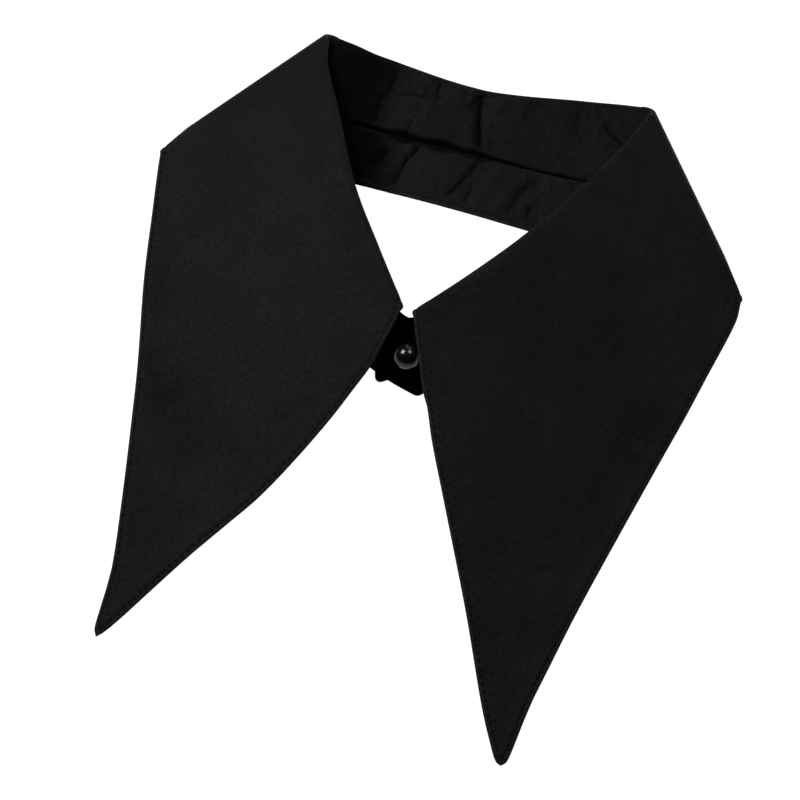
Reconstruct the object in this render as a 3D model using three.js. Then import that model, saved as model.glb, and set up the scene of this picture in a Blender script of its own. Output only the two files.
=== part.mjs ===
// Detachable collar: a neck band and a fall with two long pointed leaves, lapped at the front
// and closed by one round button, lying on a flat surface with its back half folded under.
// Millimetres, +X to the right, +Y to the back of the neck, +Z up, the table at z = 0.
import * as THREE from "three";

// Cloth
const FALL_CLOTH = 1.2;        // two plies and the interlining between them
const BAND_CLOTH = 1.6;        // the band is a layer thicker
const SEAM_GAP = 0.6;          // between the band's top edge and the fall
const TABLE_SHEET = FALL_CLOTH / 2;  // height of the middle of a sheet that lies on the table

// The two creases, where the collar is folded flat and the fall turns under to the back
const CREASE_FALL_RADIUS = 3.4;   // the fall goes round the outside
const CREASE_BAND_RADIUS = 1.6;   // the band goes round the inside
const CREASE_END_RADIUS = 0.95;   // the fall alone, past the end of the band
const CREASE_SEAM_REACH = 32.7;   // from the roll to the seam, along the crease
const CREASE_HEM_REACH = 70;      // from the roll to the band's lower edge, along the crease
const CREASE_LIFT = CREASE_FALL_RADIUS - CREASE_BAND_RADIUS;
const LEAF_DROP = 48;             // past the band's lower edge the leaf comes down to the table
const OUTER_DROP_END = 0.5;       // the outer edge is down by here
const ROLL_SOFTNESS = 14;         // the roll's fullness is gone this far out
const RIM_SKEW = 1.5;             // the free edge crosses the crease aslant: this much further out on the leaf
const LEAF_SAG = 1.5;             // 1 is a flat leaf from the roll to the table, more sags
const LEAF_FREE = 0.3;            // from here on the leaf hangs free of the band
const SETTLE_REACH = 10;          // the leaf leaves the roll's height within this distance
const CREASE_STEPS = 8;

// slide: how far the two layers have slid along the crease at its inner end, on average, and
// each way of that
const CREASES = {
  left: { corner: [-69.4, 31.4], end: [-118.6, -38.2], slide: [-0.6, 2.8] },
  right: { corner: [63.2, 37], end: [118.2, -35.6], slide: [1.55, 3.45] },
};

// A side of the collar from its crease (at = 0) to the end of its leaf (at = 1), and the
// band's own end beyond that. roll: the middle of the cloth where it turns over; radius and
// pitch (degrees) of that turn; seam and hem: the top and the lower edge of the band.
const LEFT_SIDE = [
  { at: 0.12, roll: [-67, 17.1, 9.2], radius: 1.2, pitch: 3, lift: 2.2 },
  { at: 0.3, roll: [-55.1, -5, 12.6], radius: 1.6, pitch: 6, lift: 2.7, seam: [-71.5, -17, 9.8], hem: [-97, -37, 3.6] },
  { at: 0.55, roll: [-38.6, -36.6, 18], radius: 2.1, pitch: 9, lift: 2.6, seam: [-50, -42.5, 13.4], hem: [-73, -63, 1.8] },
  { at: 0.8, roll: [-21.7, -60.1, 18.6], radius: 2.1, pitch: 10, lift: 3.4, seam: [-26, -63, 15], hem: [-46, -84, 0.95] },
  { at: 1, roll: [-5.2, -81.4, 17], radius: 1.3, pitch: 10, lift: 4, seam: [-7.1, -80.5, 11.9], hem: [-19, -99.8, 0.95] },
  { at: 1.12, seam: [3, -83, 9.8], hem: [-4, -106, 0.95] },
  { at: 1.25, seam: [17.8, -87, 3], hem: [10.2, -109.7, 0.95] },
];
const RIGHT_SIDE = [
  { at: 0.12, roll: [60.8, 17.2, 9.1], radius: 1.2, pitch: 3, lift: 2.2 },
  { at: 0.3, roll: [49.5, -6.9, 12.4], radius: 1.6, pitch: 6, lift: 2.7, seam: [67.5, -17, 9.8], hem: [92, -37, 3.6] },
  { at: 0.55, roll: [33.4, -37.2, 18], radius: 2.1, pitch: 9, lift: 2.6, seam: [46, -43.5, 13.4], hem: [68, -64, 1.8] },
  { at: 0.8, roll: [16.3, -61.5, 18.8], radius: 2.1, pitch: 10, lift: 2.3, seam: [21, -65, 15.8], hem: [40, -86, 1.6] },
  { at: 1, roll: [-1, -82.5, 17.2], radius: 1.3, pitch: 10, lift: 3, seam: [-0.2, -83.2, 13.6], hem: [13, -100.3, 4] },
  { at: 1.12, seam: [-7.4, -81.9, 13.2], hem: [0.5, -104.6, 3.8] },
  { at: 1.25, seam: [-15.8, -84.8, 9.8], hem: [-8.1, -109.7, 3] },
];
const BAND_END_CORNER = 3;      // rounding of the band's two ends

// The back, between the creases: radius of the roll, whose sheet below lies on the table
const BACK = [
  { at: 0.1, roll: [-58.5, 32.2], radius: 1.9, seam: [-72, 0.5, 2.8], hem: [-86, -29.3, 3.2], edge: [-90, -30.5] },
  { at: 0.2, roll: [-47, 29.9], radius: 2.3, seam: [-54.5, -3, 3.6], hem: [-60, -30.9, 6.8], edge: [-60, -24] },
  { at: 0.5, roll: [-2.4, 26.4], radius: 2.8, seam: [-1, -3, 4], hem: [-2.6, -32.8, 12], edge: [0, -18] },
  { at: 0.8, roll: [40, 33.6], radius: 2.3, seam: [49, -1.6, 3.6], hem: [54, -31.1, 6.8], edge: [57, -21] },
  { at: 0.9, roll: [53, 36.3], radius: 1.9, seam: [67, 4, 2.8], hem: [82, -26.8, 3.2], edge: [88, -25.4] },
];

// The leaves' free edges, from the crease (at = 0) to the point (at = 1), and from the roll to the point
const LEAF_EDGES = {
  left: {
    outer: [[0.08, -120.1, -45], [0.3, -116.6, -61.7], [0.55, -109.9, -92], [0.74, -99.8, -128.8],
      [0.83, -93.6, -154.7], [0.9, -87.2, -183], [0.955, -82.2, -207.8], [0.98, -81.2, -221],
      [0.994, -80.6, -231.2], [1, -79, -234.4]],
    front: [[0.04, -6, -86.6], [0.105, -8.3, -97.5], [0.161, -10.3, -107], [0.221, -13.9, -116.8],
      [0.311, -19.4, -131.2], [0.434, -28.1, -150.6], [0.544, -36.8, -167.5], [0.642, -46.1, -181.8],
      [0.741, -55.5, -196.3], [0.842, -64.4, -211.4], [0.947, -73.4, -227], [0.987, -77, -232.4], [1, -79, -234.4]],
  },
  right: {
    outer: [[0.12, 120.9, -44.5], [0.38, 115.2, -70.2], [0.5, 111.1, -88.4], [0.62, 106.6, -106.6],
      [0.77, 98.3, -140.7], [0.87, 90.2, -175.2], [0.93, 85.3, -199.6], [0.962, 82.5, -214.2],
      [0.985, 80.9, -228.4], [0.995, 79.8, -235.4], [1, 78, -237.5]],
    front: [[0.037, 1.4, -88], [0.107, 6.4, -99.2], [0.145, 9, -105.3], [0.19, 12.2, -112.3],
      [0.215, 14.7, -116.2], [0.293, 20.2, -128.5], [0.434, 31.5, -150.3], [0.674, 50.7, -187.6],
      [0.871, 65.5, -218.7], [0.959, 72.8, -232], [0.99, 75.9, -236.6], [1, 78, -237.5]],
  },
};

// Where the sheets are cut into facets
const SIDE_STEPS = 20;
const BAND_END_STEPS = 8;
const BACK_STEPS = 16;
const FALL_ROWS = 18;
const ROLL_ROWS = 5;
const RISE_ROWS = 4;
const BAND_ROWS = 5;

// The button: a ball of black plastic with a flat back and a moulded shank
const BUTTON_DIAMETER = 10.6;
const BUTTON_HEIGHT = 7.6;
const SHANK_DIAMETER = 3.2;
const SHANK_HEIGHT = 1.4;
const BUTTON_AT = 0.67;          // how far down the band's visible front it sits
const BUTTON_STATION = 1.075;     // on the right, upper end of the band
const BUTTON_SIDES = 28;
const BUTTON_RINGS = 12;

const add = (a, b) => a.map((v, i) => v + b[i]);
const scale = (a, s) => a.map((v) => v * s);
const sub = (a, b) => a.map((v, i) => v - b[i]);
const length = (a) => Math.hypot(...a);
const unit = (a) => scale(a, 1 / length(a));
const mix = (a, b, t) => a.map((v, i) => v + (b[i] - v) * t);
const cross = (a, b) => [a[1] * b[2] - a[2] * b[1], a[2] * b[0] - a[0] * b[2], a[0] * b[1] - a[1] * b[0]];
const UP = [0, 0, 1];
const ease = (t) => { const k = Math.min(1, Math.max(0, t)); return k * k * (3 - 2 * k); };

// A smooth curve through rows of [at, values...], read at any place along it
function through(rows, t) {
  const last = rows.length - 2;
  let k = 0;
  while (k < last && t > rows[k + 1][0]) k += 1;
  const [a, b] = [rows[k], rows[k + 1]];
  const span = b[0] - a[0];
  const before = rows[k - 1] ?? a;
  const after = rows[k + 2] ?? b;
  const s = (t - a[0]) / span;
  const s2 = s * s;
  const s3 = s2 * s;
  return a.slice(1).map((_, j) => {
    const i = j + 1;
    const slopeA = ((b[i] - before[i]) / (b[0] - before[0])) * span;
    const slopeB = ((after[i] - a[i]) / (after[0] - a[0])) * span;
    return (2 * s3 - 3 * s2 + 1) * a[i] + (s3 - 2 * s2 + s) * slopeA + (3 * s2 - 2 * s3) * b[i] + (s3 - s2) * slopeB;
  });
}

// A curve between two points with a stated direction at each end
function bend(p, q, leave, arrive, t) {
  const t2 = t * t;
  const t3 = t2 * t;
  return add(
    add(scale(p, 2 * t3 - 3 * t2 + 1), scale(q, 3 * t2 - 2 * t3)),
    add(scale(leave, t3 - 2 * t2 + t), scale(arrive, t3 - t2)),
  );
}

// One crease: its line in plan, the direction out of the fold, and the sheet's turn at any angle
function creaseFrame(side) {
  const { corner, end, slide } = CREASES[side];
  const along = unit([end[0] - corner[0], end[1] - corner[1], 0]);
  const reach = length(sub(end, corner));
  const out = side === "left" ? cross(UP, along) : cross(along, UP);
  const outward = scale(out, Math.sign(out[0] * corner[0]));
  const origin = [corner[0], corner[1], TABLE_SHEET];
  const turned = (p, radius, axis, angle) => {
    const slid = p + (slide[0] - slide[1] * Math.cos(angle)) * (1 - p / reach);
    const away = radius * Math.sin(angle) + CREASE_FALL_RADIUS - axis;
    return add(add(origin, scale(along, slid)), add(scale(outward, away), scale(UP, axis - radius * Math.cos(angle))));
  };
  // the fall where it goes round the crease, from the roll (v = 0) to its free edge (v = 1)
  const fallPoint = (v, angle) => {
    const from = (CREASE_FALL_RADIUS - CREASE_BAND_RADIUS) / 2;
    const p = from + v * (reach - from - RIM_SKEW * Math.cos(angle));
    const narrowing = ease((p - CREASE_HEM_REACH) / (reach - CREASE_HEM_REACH));
    const radius = CREASE_FALL_RADIUS + (CREASE_END_RADIUS - CREASE_FALL_RADIUS) * narrowing;
    return turned(p, radius, radius, angle);
  };
  return { along, reach, outward, turned, fallPoint };
}

// A section across the strip: the turn at the roll, the rise inside it, the band, and the fall outside
function section({ roll, out, up, radius, seam, hem, fallLine, hasFall }) {
  const drop = sub(hem, seam);
  const top = hasFall ? add(roll, add(scale(out, radius), scale(up, -radius))) : seam;
  const rise = sub(seam, top);
  const seamWay = hasFall ? unit(mix(unit(drop), unit(rise), Math.min(0.5, length(rise) / 20))) : unit(drop);
  const risePoint = (t) => bend(top, seam, scale(out, length(rise)), scale(seamWay, length(rise)), t);
  const bandPoint = (t) => bend(seam, hem, scale(seamWay, length(drop)), drop, t);
  const rollPoint = (angle) => add(
    add(roll, scale(out, radius * (1 - Math.sin(angle)))),
    scale(up, radius * Math.cos(angle)),
  );
  return { risePoint, bandPoint, rollPoint, fallLine, rise: length(rise), drop: length(drop) };
}

// The stations of one side, between its crease and its front end
function sideSection(side, rows, at) {
  const frame = creaseFrame(side);
  const axis = CREASE_FALL_RADIUS;
  const start = (reach) => frame.turned(reach, CREASE_BAND_RADIUS, axis, Math.PI);
  const column = (name, first) => [[0, ...first], ...rows.filter((r) => r[name]).map((r) => [r.at, ...r[name]])];
  const middle = (CREASE_FALL_RADIUS + CREASE_BAND_RADIUS) / 2;
  const rollRows = column("roll", frame.turned(0, middle, axis, Math.PI));
  const seam = through(column("seam", start(CREASE_SEAM_REACH)), at);
  const hem = through(column("hem", start(CREASE_HEM_REACH)), at);
  if (at > 1) return section({ seam, hem, hasFall: false });
  const turns = [[0, (CREASE_FALL_RADIUS - CREASE_BAND_RADIUS) / 2, 0],
    ...rows.filter((r) => r.roll).map((r) => [r.at, r.radius, r.pitch])];
  const hang = (t) => {
    const roll = through(rollRows, t);
    const low = through(column("hem", start(CREASE_HEM_REACH)), t);
    const [radius, pitch] = through(turns, t);
    const flat = unit([low[0] - roll[0], low[1] - roll[1], 0]);
    const tilt = THREE.MathUtils.degToRad(pitch);
    const out = add(scale(flat, Math.cos(tilt)), scale(UP, -Math.sin(tilt)));
    const up = add(scale(flat, Math.sin(tilt)), scale(UP, Math.cos(tilt)));
    return { roll, out, up, radius, top: add(roll, add(scale(out, radius), scale(up, radius))) };
  };
  const here = hang(at);
  // the leaf is stretched between four lines: the crease, the roll, the outer edge and the front edge
  const creaseLine = (v) => frame.fallPoint(v, Math.PI);
  const edges = LEAF_EDGES[side];
  const plan = (p) => p.slice(0, 2);
  const outer = through([[0, ...plan(creaseLine(1))], ...edges.outer], at);
  const frontRows = [[0, ...plan(hang(1).top)], ...edges.front];
  const [start0, start1, end0, end1] = [creaseLine(0), hang(1).top, creaseLine(1), frontRows.at(-1).slice(1)].map(plan);
  // how high it lies: over the band, and past the band's lower edge down to the table, but further
  // towards the front it hangs free, from the roll straight to the table
  const below = sub(here.top, scale(here.up, 2 * here.radius));
  const away = (p) => length(sub(plan(p), plan(here.roll)));
  const bandRows = [[0, below[2]], [Math.max(away(seam), 1), seam[2]], [away(hem), hem[2]]];
  const [lift] = through([[0, CREASE_LIFT], ...rows.filter((r) => r.lift).map((r) => [r.at, r.lift])], at);
  const rest = TABLE_SHEET + 2 * CREASE_END_RADIUS * (1 - ease(at / OUTER_DROP_END));
  const drop = Math.min(LEAF_DROP, Math.max(frame.reach - CREASE_HEM_REACH, away(outer) - away(hem)));
  const height = (d) => {
    const [band] = through(bandRows, Math.min(d, away(hem)));
    const over = band + lift + (here.top[2] - below[2] - lift) * (1 - ease(d / ROLL_SOFTNESS));
    return over + (rest - over) * ease((d - away(hem)) / drop);
  };
  const fallLine = (v) => {
    const across = mix(plan(creaseLine(v)), through(frontRows, v), at);
    const down = mix(plan(here.top), outer, v);
    const corners = mix(mix(start0, start1, at), mix(end0, end1, at), v);
    const [x, y] = sub(add(across, down), corners);
    const [far, edge] = [away([x, y]), away(here.top)];
    const settled = height(far) + (here.top[2] - height(edge)) * (1 - ease((far - edge) / SETTLE_REACH));
    const share = Math.min(1, Math.max(0, (far - edge) / (away(outer) - edge)));
    const sagging = rest + (here.top[2] - rest) * (1 - share) ** LEAF_SAG;
    const over = (settled + sagging + Math.hypot(settled - sagging, 2 * share * (1 - share))) / 2;
    return [x, y, settled + (over - settled) * ease(at / LEAF_FREE)];
  };
  return section({ ...here, seam, hem, fallLine, hasFall: true });
}

function creaseSection(side, angle) {
  const frame = creaseFrame(side);
  const axis = CREASE_FALL_RADIUS;
  const middle = (CREASE_FALL_RADIUS + CREASE_BAND_RADIUS) / 2;
  const radius = (CREASE_FALL_RADIUS - CREASE_BAND_RADIUS) / 2;
  const up = add(scale(frame.outward, Math.sin(angle)), scale(UP, -Math.cos(angle)));
  return section({
    roll: frame.turned(0, middle, axis, angle),
    out: frame.along,
    up,
    radius,
    seam: frame.turned(CREASE_SEAM_REACH, CREASE_BAND_RADIUS, axis, angle),
    hem: frame.turned(CREASE_HEM_REACH, CREASE_BAND_RADIUS, axis, angle),
    fallLine: (v) => frame.fallPoint(v, angle),
    hasFall: true,
  });
}

function backSection(at) {
  const ends = ["left", "right"].map((side) => {
    const { turned, fallPoint } = creaseFrame(side);
    const middle = (CREASE_FALL_RADIUS + CREASE_BAND_RADIUS) / 2;
    return {
      roll: turned(0, middle, CREASE_FALL_RADIUS, 0).slice(0, 2),
      radius: (CREASE_FALL_RADIUS - CREASE_BAND_RADIUS) / 2,
      seam: turned(CREASE_SEAM_REACH, CREASE_BAND_RADIUS, CREASE_FALL_RADIUS, 0),
      hem: turned(CREASE_HEM_REACH, CREASE_BAND_RADIUS, CREASE_FALL_RADIUS, 0),
      edge: fallPoint(1, 0).slice(0, 2),
    };
  });
  const rows = [{ at: 0, ...ends[0] }, ...BACK, { at: 1, ...ends[1] }];
  const read = (name) => through(rows.map((r) => [r.at, ...[r[name]].flat()]), at);
  const [radius] = read("radius");
  const [x, y] = read("roll");
  const roll = [x, y, TABLE_SHEET + radius];
  const seam = read("seam");
  const hem = read("hem");
  const out = unit([hem[0] - x, hem[1] - y, 0]);
  const top = add(roll, add(scale(out, radius), scale(UP, -radius)));
  const edge = [...read("edge"), TABLE_SHEET];
  return section({ roll, out, up: scale(UP, -1), radius, seam, hem, fallLine: (v) => mix(top, edge, v), hasFall: true });
}

// Evenly spaced places, gathered towards both ends when ease is 1
const steps = (count, from, to, ease = 0) => Array.from({ length: count + 1 }, (_, i) => {
  const t = i / count;
  return from + (to - from) * (t + ease * (t * t * (3 - 2 * t) - t));
});

const leftSide = steps(SIDE_STEPS, 1, 0, 0.7).map((at) => sideSection("left", LEFT_SIDE, at));
const rightSide = steps(SIDE_STEPS, 0, 1, 0.7).map((at) => sideSection("right", RIGHT_SIDE, at));
const leftCrease = steps(CREASE_STEPS, Math.PI, 0).map((angle) => creaseSection("left", angle));
const rightCrease = steps(CREASE_STEPS, 0, Math.PI).map((angle) => creaseSection("right", angle));
const back = steps(BACK_STEPS, 0, 1).map(backSection);
const wrapped = [...leftSide, ...leftCrease.slice(1), ...back.slice(1, -1), ...rightCrease, ...rightSide.slice(1)];

// The fall: from the leaf's free edge over the roll and down to the seam
const fallGrid = wrapped.map((s) => [
  ...steps(FALL_ROWS, 1, 0, 0.8).map(s.fallLine),
  ...steps(ROLL_ROWS, 0, Math.PI).slice(1, -1).map(s.rollPoint),
  ...steps(RISE_ROWS, 0, 1 - SEAM_GAP / 2 / s.rise).map(s.risePoint),
]);

// The band: a strip whose two ends are rounded
const LEFT_TIP = LEFT_SIDE.at(-1).at;
const RIGHT_TIP = RIGHT_SIDE.at(-1).at;
const leftEnd = steps(BAND_END_STEPS, LEFT_TIP, 1);
const rightEnd = steps(BAND_END_STEPS, 1, RIGHT_TIP);
function bandColumn(s, fromEnd) {
  const inside = Math.min(1, fromEnd / BAND_END_CORNER);
  const inset = BAND_END_CORNER * (1 - Math.sqrt(1 - (1 - inside) ** 2));
  return steps(BAND_ROWS, (SEAM_GAP / 2 + inset) / s.drop, 1 - inset / s.drop).map(s.bandPoint);
}
const bandLength = (side, rows, at) => length(sub(
  sideSection(side, rows, at).bandPoint(0.5), sideSection(side, rows, rows.at(-1).at).bandPoint(0.5)));
const endColumns = (side, rows, stations) => stations.map((at) => bandColumn(sideSection(side, rows, at), bandLength(side, rows, at)));
const bandGrid = [
  ...endColumns("left", LEFT_SIDE, leftEnd).slice(0, -1),
  ...wrapped.map((s) => bandColumn(s, BAND_END_CORNER)),
  ...endColumns("right", RIGHT_SIDE, rightEnd).slice(1),
];

// A closed sheet of even thickness about a grid of points
function sheet(grid, thickness) {
  const [columns, rows] = [grid.length, grid[0].length];
  const normals = grid.map((line) => line.map(() => [0, 0, 0]));
  for (let i = 0; i < columns - 1; i += 1) {
    for (let j = 0; j < rows - 1; j += 1) {
      const face = cross(sub(grid[i + 1][j + 1], grid[i][j]), sub(grid[i][j + 1], grid[i + 1][j]));
      for (const [a, b] of [[i, j], [i + 1, j], [i, j + 1], [i + 1, j + 1]]) normals[a][b] = add(normals[a][b], face);
    }
  }
  const side = (way) => grid.map((line, i) => line.map((p, j) => add(p, scale(unit(normals[i][j]), (way * thickness) / 2))));
  const positions = [...side(1).flat(), ...side(-1).flat()].flat();
  const count = columns * rows;
  const index = [];
  const quad = (a, b, c, d) => index.push(a, b, c, a, c, d);
  const at = (i, j) => i * rows + j;
  for (let i = 0; i < columns - 1; i += 1) {
    for (let j = 0; j < rows - 1; j += 1) {
      quad(at(i, j), at(i, j + 1), at(i + 1, j + 1), at(i + 1, j));
      quad(count + at(i, j), count + at(i + 1, j), count + at(i + 1, j + 1), count + at(i, j + 1));
    }
  }
  const rim = [];
  for (let i = 0; i < columns - 1; i += 1) rim.push(at(i, 0));
  for (let j = 0; j < rows - 1; j += 1) rim.push(at(columns - 1, j));
  for (let i = columns - 1; i > 0; i -= 1) rim.push(at(i, rows - 1));
  for (let j = rows - 1; j > 0; j -= 1) rim.push(at(0, j));
  rim.forEach((a, k) => {
    const b = rim[(k + 1) % rim.length];
    quad(a, b, count + b, count + a);
  });
  return solid(positions, index);
}

// A closed mesh with its faces turned outwards
function solid(positions, index) {
  let volume = 0;
  const corner = (k) => positions.slice(3 * k, 3 * k + 3);
  for (let k = 0; k < index.length; k += 3) {
    const [a, b, c] = [corner(index[k]), corner(index[k + 1]), corner(index[k + 2])];
    volume += a[0] * (b[1] * c[2] - b[2] * c[1]) - a[1] * (b[0] * c[2] - b[2] * c[0]) + a[2] * (b[0] * c[1] - b[1] * c[0]);
  }
  if (volume < 0) for (let k = 0; k < index.length; k += 3) [index[k + 1], index[k + 2]] = [index[k + 2], index[k + 1]];
  const geometry = new THREE.BufferGeometry();
  geometry.setAttribute("position", new THREE.Float32BufferAttribute(positions, 3));
  geometry.setIndex(index);
  geometry.computeVertexNormals();
  return geometry;
}

// The button stands on its shank, square to the face of the upper band end
function buttonSolid() {
  const radius = BUTTON_DIAMETER / 2;
  const shank = SHANK_DIAMETER / 2;
  const backZ = SHANK_HEIGHT;
  const centreZ = SHANK_HEIGHT + BUTTON_HEIGHT - radius;
  const lowest = Math.asin((backZ - centreZ) / radius);
  const profile = [new THREE.Vector2(0, 0), new THREE.Vector2(shank, 0), new THREE.Vector2(shank, backZ)];
  for (const a of steps(BUTTON_RINGS, lowest, Math.PI / 2)) profile.push(new THREE.Vector2(radius * Math.cos(a), centreZ + radius * Math.sin(a)));
  profile[profile.length - 1].x = 0;
  const positions = [0, 0, profile[0].y];
  const ring = (k) => 1 + (k - 1) * BUTTON_SIDES;
  profile.slice(1, -1).forEach((p) => {
    for (let i = 0; i < BUTTON_SIDES; i += 1) {
      const a = (2 * Math.PI * i) / BUTTON_SIDES;
      positions.push(p.x * Math.cos(a), p.x * Math.sin(a), p.y);
    }
  });
  const apex = positions.length / 3;
  positions.push(0, 0, profile.at(-1).y);
  const index = [];
  for (let i = 0; i < BUTTON_SIDES; i += 1) {
    const n = (i + 1) % BUTTON_SIDES;
    index.push(0, ring(1) + n, ring(1) + i);
    for (let k = 1; k < profile.length - 2; k += 1) {
      index.push(ring(k) + i, ring(k) + n, ring(k + 1) + n, ring(k) + i, ring(k + 1) + n, ring(k + 1) + i);
    }
    const top = ring(profile.length - 2);
    index.push(top + i, top + n, apex);
  }
  const host = sideSection("right", RIGHT_SIDE, BUTTON_STATION);
  const beside = sideSection("right", RIGHT_SIDE, BUTTON_STATION + 0.02);
  const seat = host.bandPoint(BUTTON_AT);
  const normal = unit(cross(sub(host.bandPoint(BUTTON_AT + 0.1), seat), sub(beside.bandPoint(BUTTON_AT), seat)));
  const facing = normal[2] > 0 ? normal : scale(normal, -1);
  const foot = add(seat, scale(facing, BAND_CLOTH / 2 + SEAM_GAP));
  const turn = new THREE.Quaternion().setFromUnitVectors(new THREE.Vector3(0, 0, 1), new THREE.Vector3(...facing));
  const placed = [];
  for (let k = 0; k < positions.length; k += 3) {
    const p = new THREE.Vector3(...positions.slice(k, k + 3)).applyQuaternion(turn);
    placed.push(p.x + foot[0], p.y + foot[1], p.z + foot[2]);
  }
  return solid(placed, index);
}

const group = new THREE.Group();
group.name = "detachable_collar";
function piece(name, geometry, colour, roughness) {
  const mesh = new THREE.Mesh(geometry, new THREE.MeshStandardMaterial({ color: colour, roughness, metalness: 0 }));
  mesh.name = name;
  group.add(mesh);
}
piece("collar_fall", sheet(fallGrid, FALL_CLOTH), 0x1c1c1c, 0.85);
piece("neck_band", sheet(bandGrid, BAND_CLOTH), 0x161616, 0.85);
piece("front_button", buttonSolid(), 0x0a0a0a, 0.2);

export default group;
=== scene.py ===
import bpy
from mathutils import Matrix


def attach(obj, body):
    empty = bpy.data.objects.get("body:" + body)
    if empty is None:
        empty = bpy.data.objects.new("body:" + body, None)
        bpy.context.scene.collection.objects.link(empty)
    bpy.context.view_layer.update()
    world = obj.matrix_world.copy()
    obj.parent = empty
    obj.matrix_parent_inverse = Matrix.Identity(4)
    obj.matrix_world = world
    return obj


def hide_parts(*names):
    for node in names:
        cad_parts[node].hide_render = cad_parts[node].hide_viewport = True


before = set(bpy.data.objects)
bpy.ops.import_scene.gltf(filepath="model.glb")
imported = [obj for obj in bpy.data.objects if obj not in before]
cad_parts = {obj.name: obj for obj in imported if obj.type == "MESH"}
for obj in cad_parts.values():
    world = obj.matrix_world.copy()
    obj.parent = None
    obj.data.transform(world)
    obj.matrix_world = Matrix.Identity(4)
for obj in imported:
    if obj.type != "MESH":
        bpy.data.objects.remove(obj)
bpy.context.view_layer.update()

import bpy
import numpy as np
from mathutils import Vector
from mathutils.kdtree import KDTree

# Neck band: two plies of black cotton poplin over an interlining, cut as one long strip, turned
# in at every edge and stitched round. The collar lies folded flat at two creases, with its back
# half underneath and the right end of the band lapped over the left one.
FALL_CLOTH = 1.2            # lengths are in millimetres here, and become metres when a mesh is made
BAND_CLOTH = 1.6
TABLE_SHEET = FALL_CLOTH / 2
CREASE_FALL_RADIUS = 3.4
CREASE_BAND_RADIUS = 1.6
CREASE_END_RADIUS = 0.95
CREASE_SEAM_REACH = 32.7
CREASE_HEM_REACH = 70
CREASE_CORNER = {"left": (-69.4, 31.4), "right": (63.2, 37.0)}
CREASE_END = {"left": (-118.6, -38.2), "right": (118.2, -35.6)}
# how far the two layers have slid along the crease at its inner end: on average, and each way of that
CREASE_SLIDE = {"left": (-0.6, 2.8), "right": (1.55, 3.45)}
# the band leaves the seam turned this far towards the rise, and less where that is short: its length over
# the second number
SEAM_LEAN = (0.5, 20)
FALL_END = 0.12             # beyond the fall's front end that turn is gone after this part of a side
UP = np.array([0.0, 0.0, 1.0])

# place along the side, where the cloth turns over at the roll, radius, pitch, gap under the leaf
ROLL = {
    "left": [
        (0.12, (-67, 17.1, 9.2), 1.2, 3, 2.2),
        (0.3, (-55.1, -5, 12.6), 1.6, 6, 2.7),
        (0.55, (-38.6, -36.6, 18), 2.1, 9, 2.6),
        (0.8, (-21.7, -60.1, 18.6), 2.1, 10, 3.4),
        (1, (-5.2, -81.4, 17), 1.3, 10, 4),
    ],
    "right": [
        (0.12, (60.8, 17.2, 9.1), 1.2, 3, 2.2),
        (0.3, (49.5, -6.9, 12.4), 1.6, 6, 2.7),
        (0.55, (33.4, -37.2, 18), 2.1, 9, 2.6),
        (0.8, (16.3, -61.5, 18.8), 2.1, 10, 2.3),
        (1, (-1, -82.5, 17.2), 1.3, 10, 3),
    ],
}
# place along the side, the band's top edge at the seam, its lower edge
BAND = {
    "left": [
        (0.3, (-71.5, -17, 9.8), (-97, -37, 3.6)),
        (0.55, (-50, -42.5, 13.4), (-73, -63, 1.8)),
        (0.8, (-26, -63, 15), (-46, -84, 0.95)),
        (1, (-7.1, -80.5, 11.9), (-19, -99.8, 0.95)),
        (1.12, (3, -83, 9.8), (-4, -106, 0.95)),
        (1.25, (17.8, -87, 3), (10.2, -109.7, 0.95)),
    ],
    "right": [
        (0.3, (67.5, -17, 9.8), (92, -37, 3.6)),
        (0.55, (46, -43.5, 13.4), (68, -64, 1.8)),
        (0.8, (21, -65, 15.8), (40, -86, 1.6)),
        (1, (-0.3, -82.5, 13.7), (13, -100.3, 4)),
        (1.12, (-7.4, -81.9, 13.2), (0.5, -104.6, 3.8)),
        (1.25, (-15.8, -84.8, 9.8), (-8.1, -109.7, 3)),
    ],
}
# place across the back, roll, radius, top edge of the band, lower edge, free edge of the fall
BACK = [
    (0.1, (-58.5, 32.2), 1.9, (-72, 0.5, 2.8), (-86, -29.3, 3.2), (-90, -30.5)),
    (0.2, (-47, 29.9), 2.3, (-54.5, -3, 3.6), (-60, -30.9, 6.8), (-60, -24)),
    (0.5, (-2.4, 26.4), 2.8, (-1, -3, 4), (-2.6, -32.8, 12), (0, -18)),
    (0.8, (40, 33.6), 2.3, (49, -1.6, 3.6), (54, -31.1, 6.8), (57, -21)),
    (0.9, (53, 36.3), 1.9, (67, 4, 2.8), (82, -26.8, 3.2), (88, -25.4)),
]


def unit(v):
    return v / np.maximum(np.linalg.norm(v, axis=-1, keepdims=True), 1e-9)


def size(v):
    return np.linalg.norm(v, axis=-1)


def ease(t):
    t = np.clip(t, 0, 1)
    return t * t * (3 - 2 * t)


def bend(p, q, leave, arrive, t):
    """The smooth curve from p to q that sets out along leave and comes in along arrive."""
    t2, t3 = t * t, t * t * t
    return (2 * t3 - 3 * t2 + 1) * p + (3 * t2 - 2 * t3) * q + (t3 - 2 * t2 + t) * leave + (t3 - t2) * arrive


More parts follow.
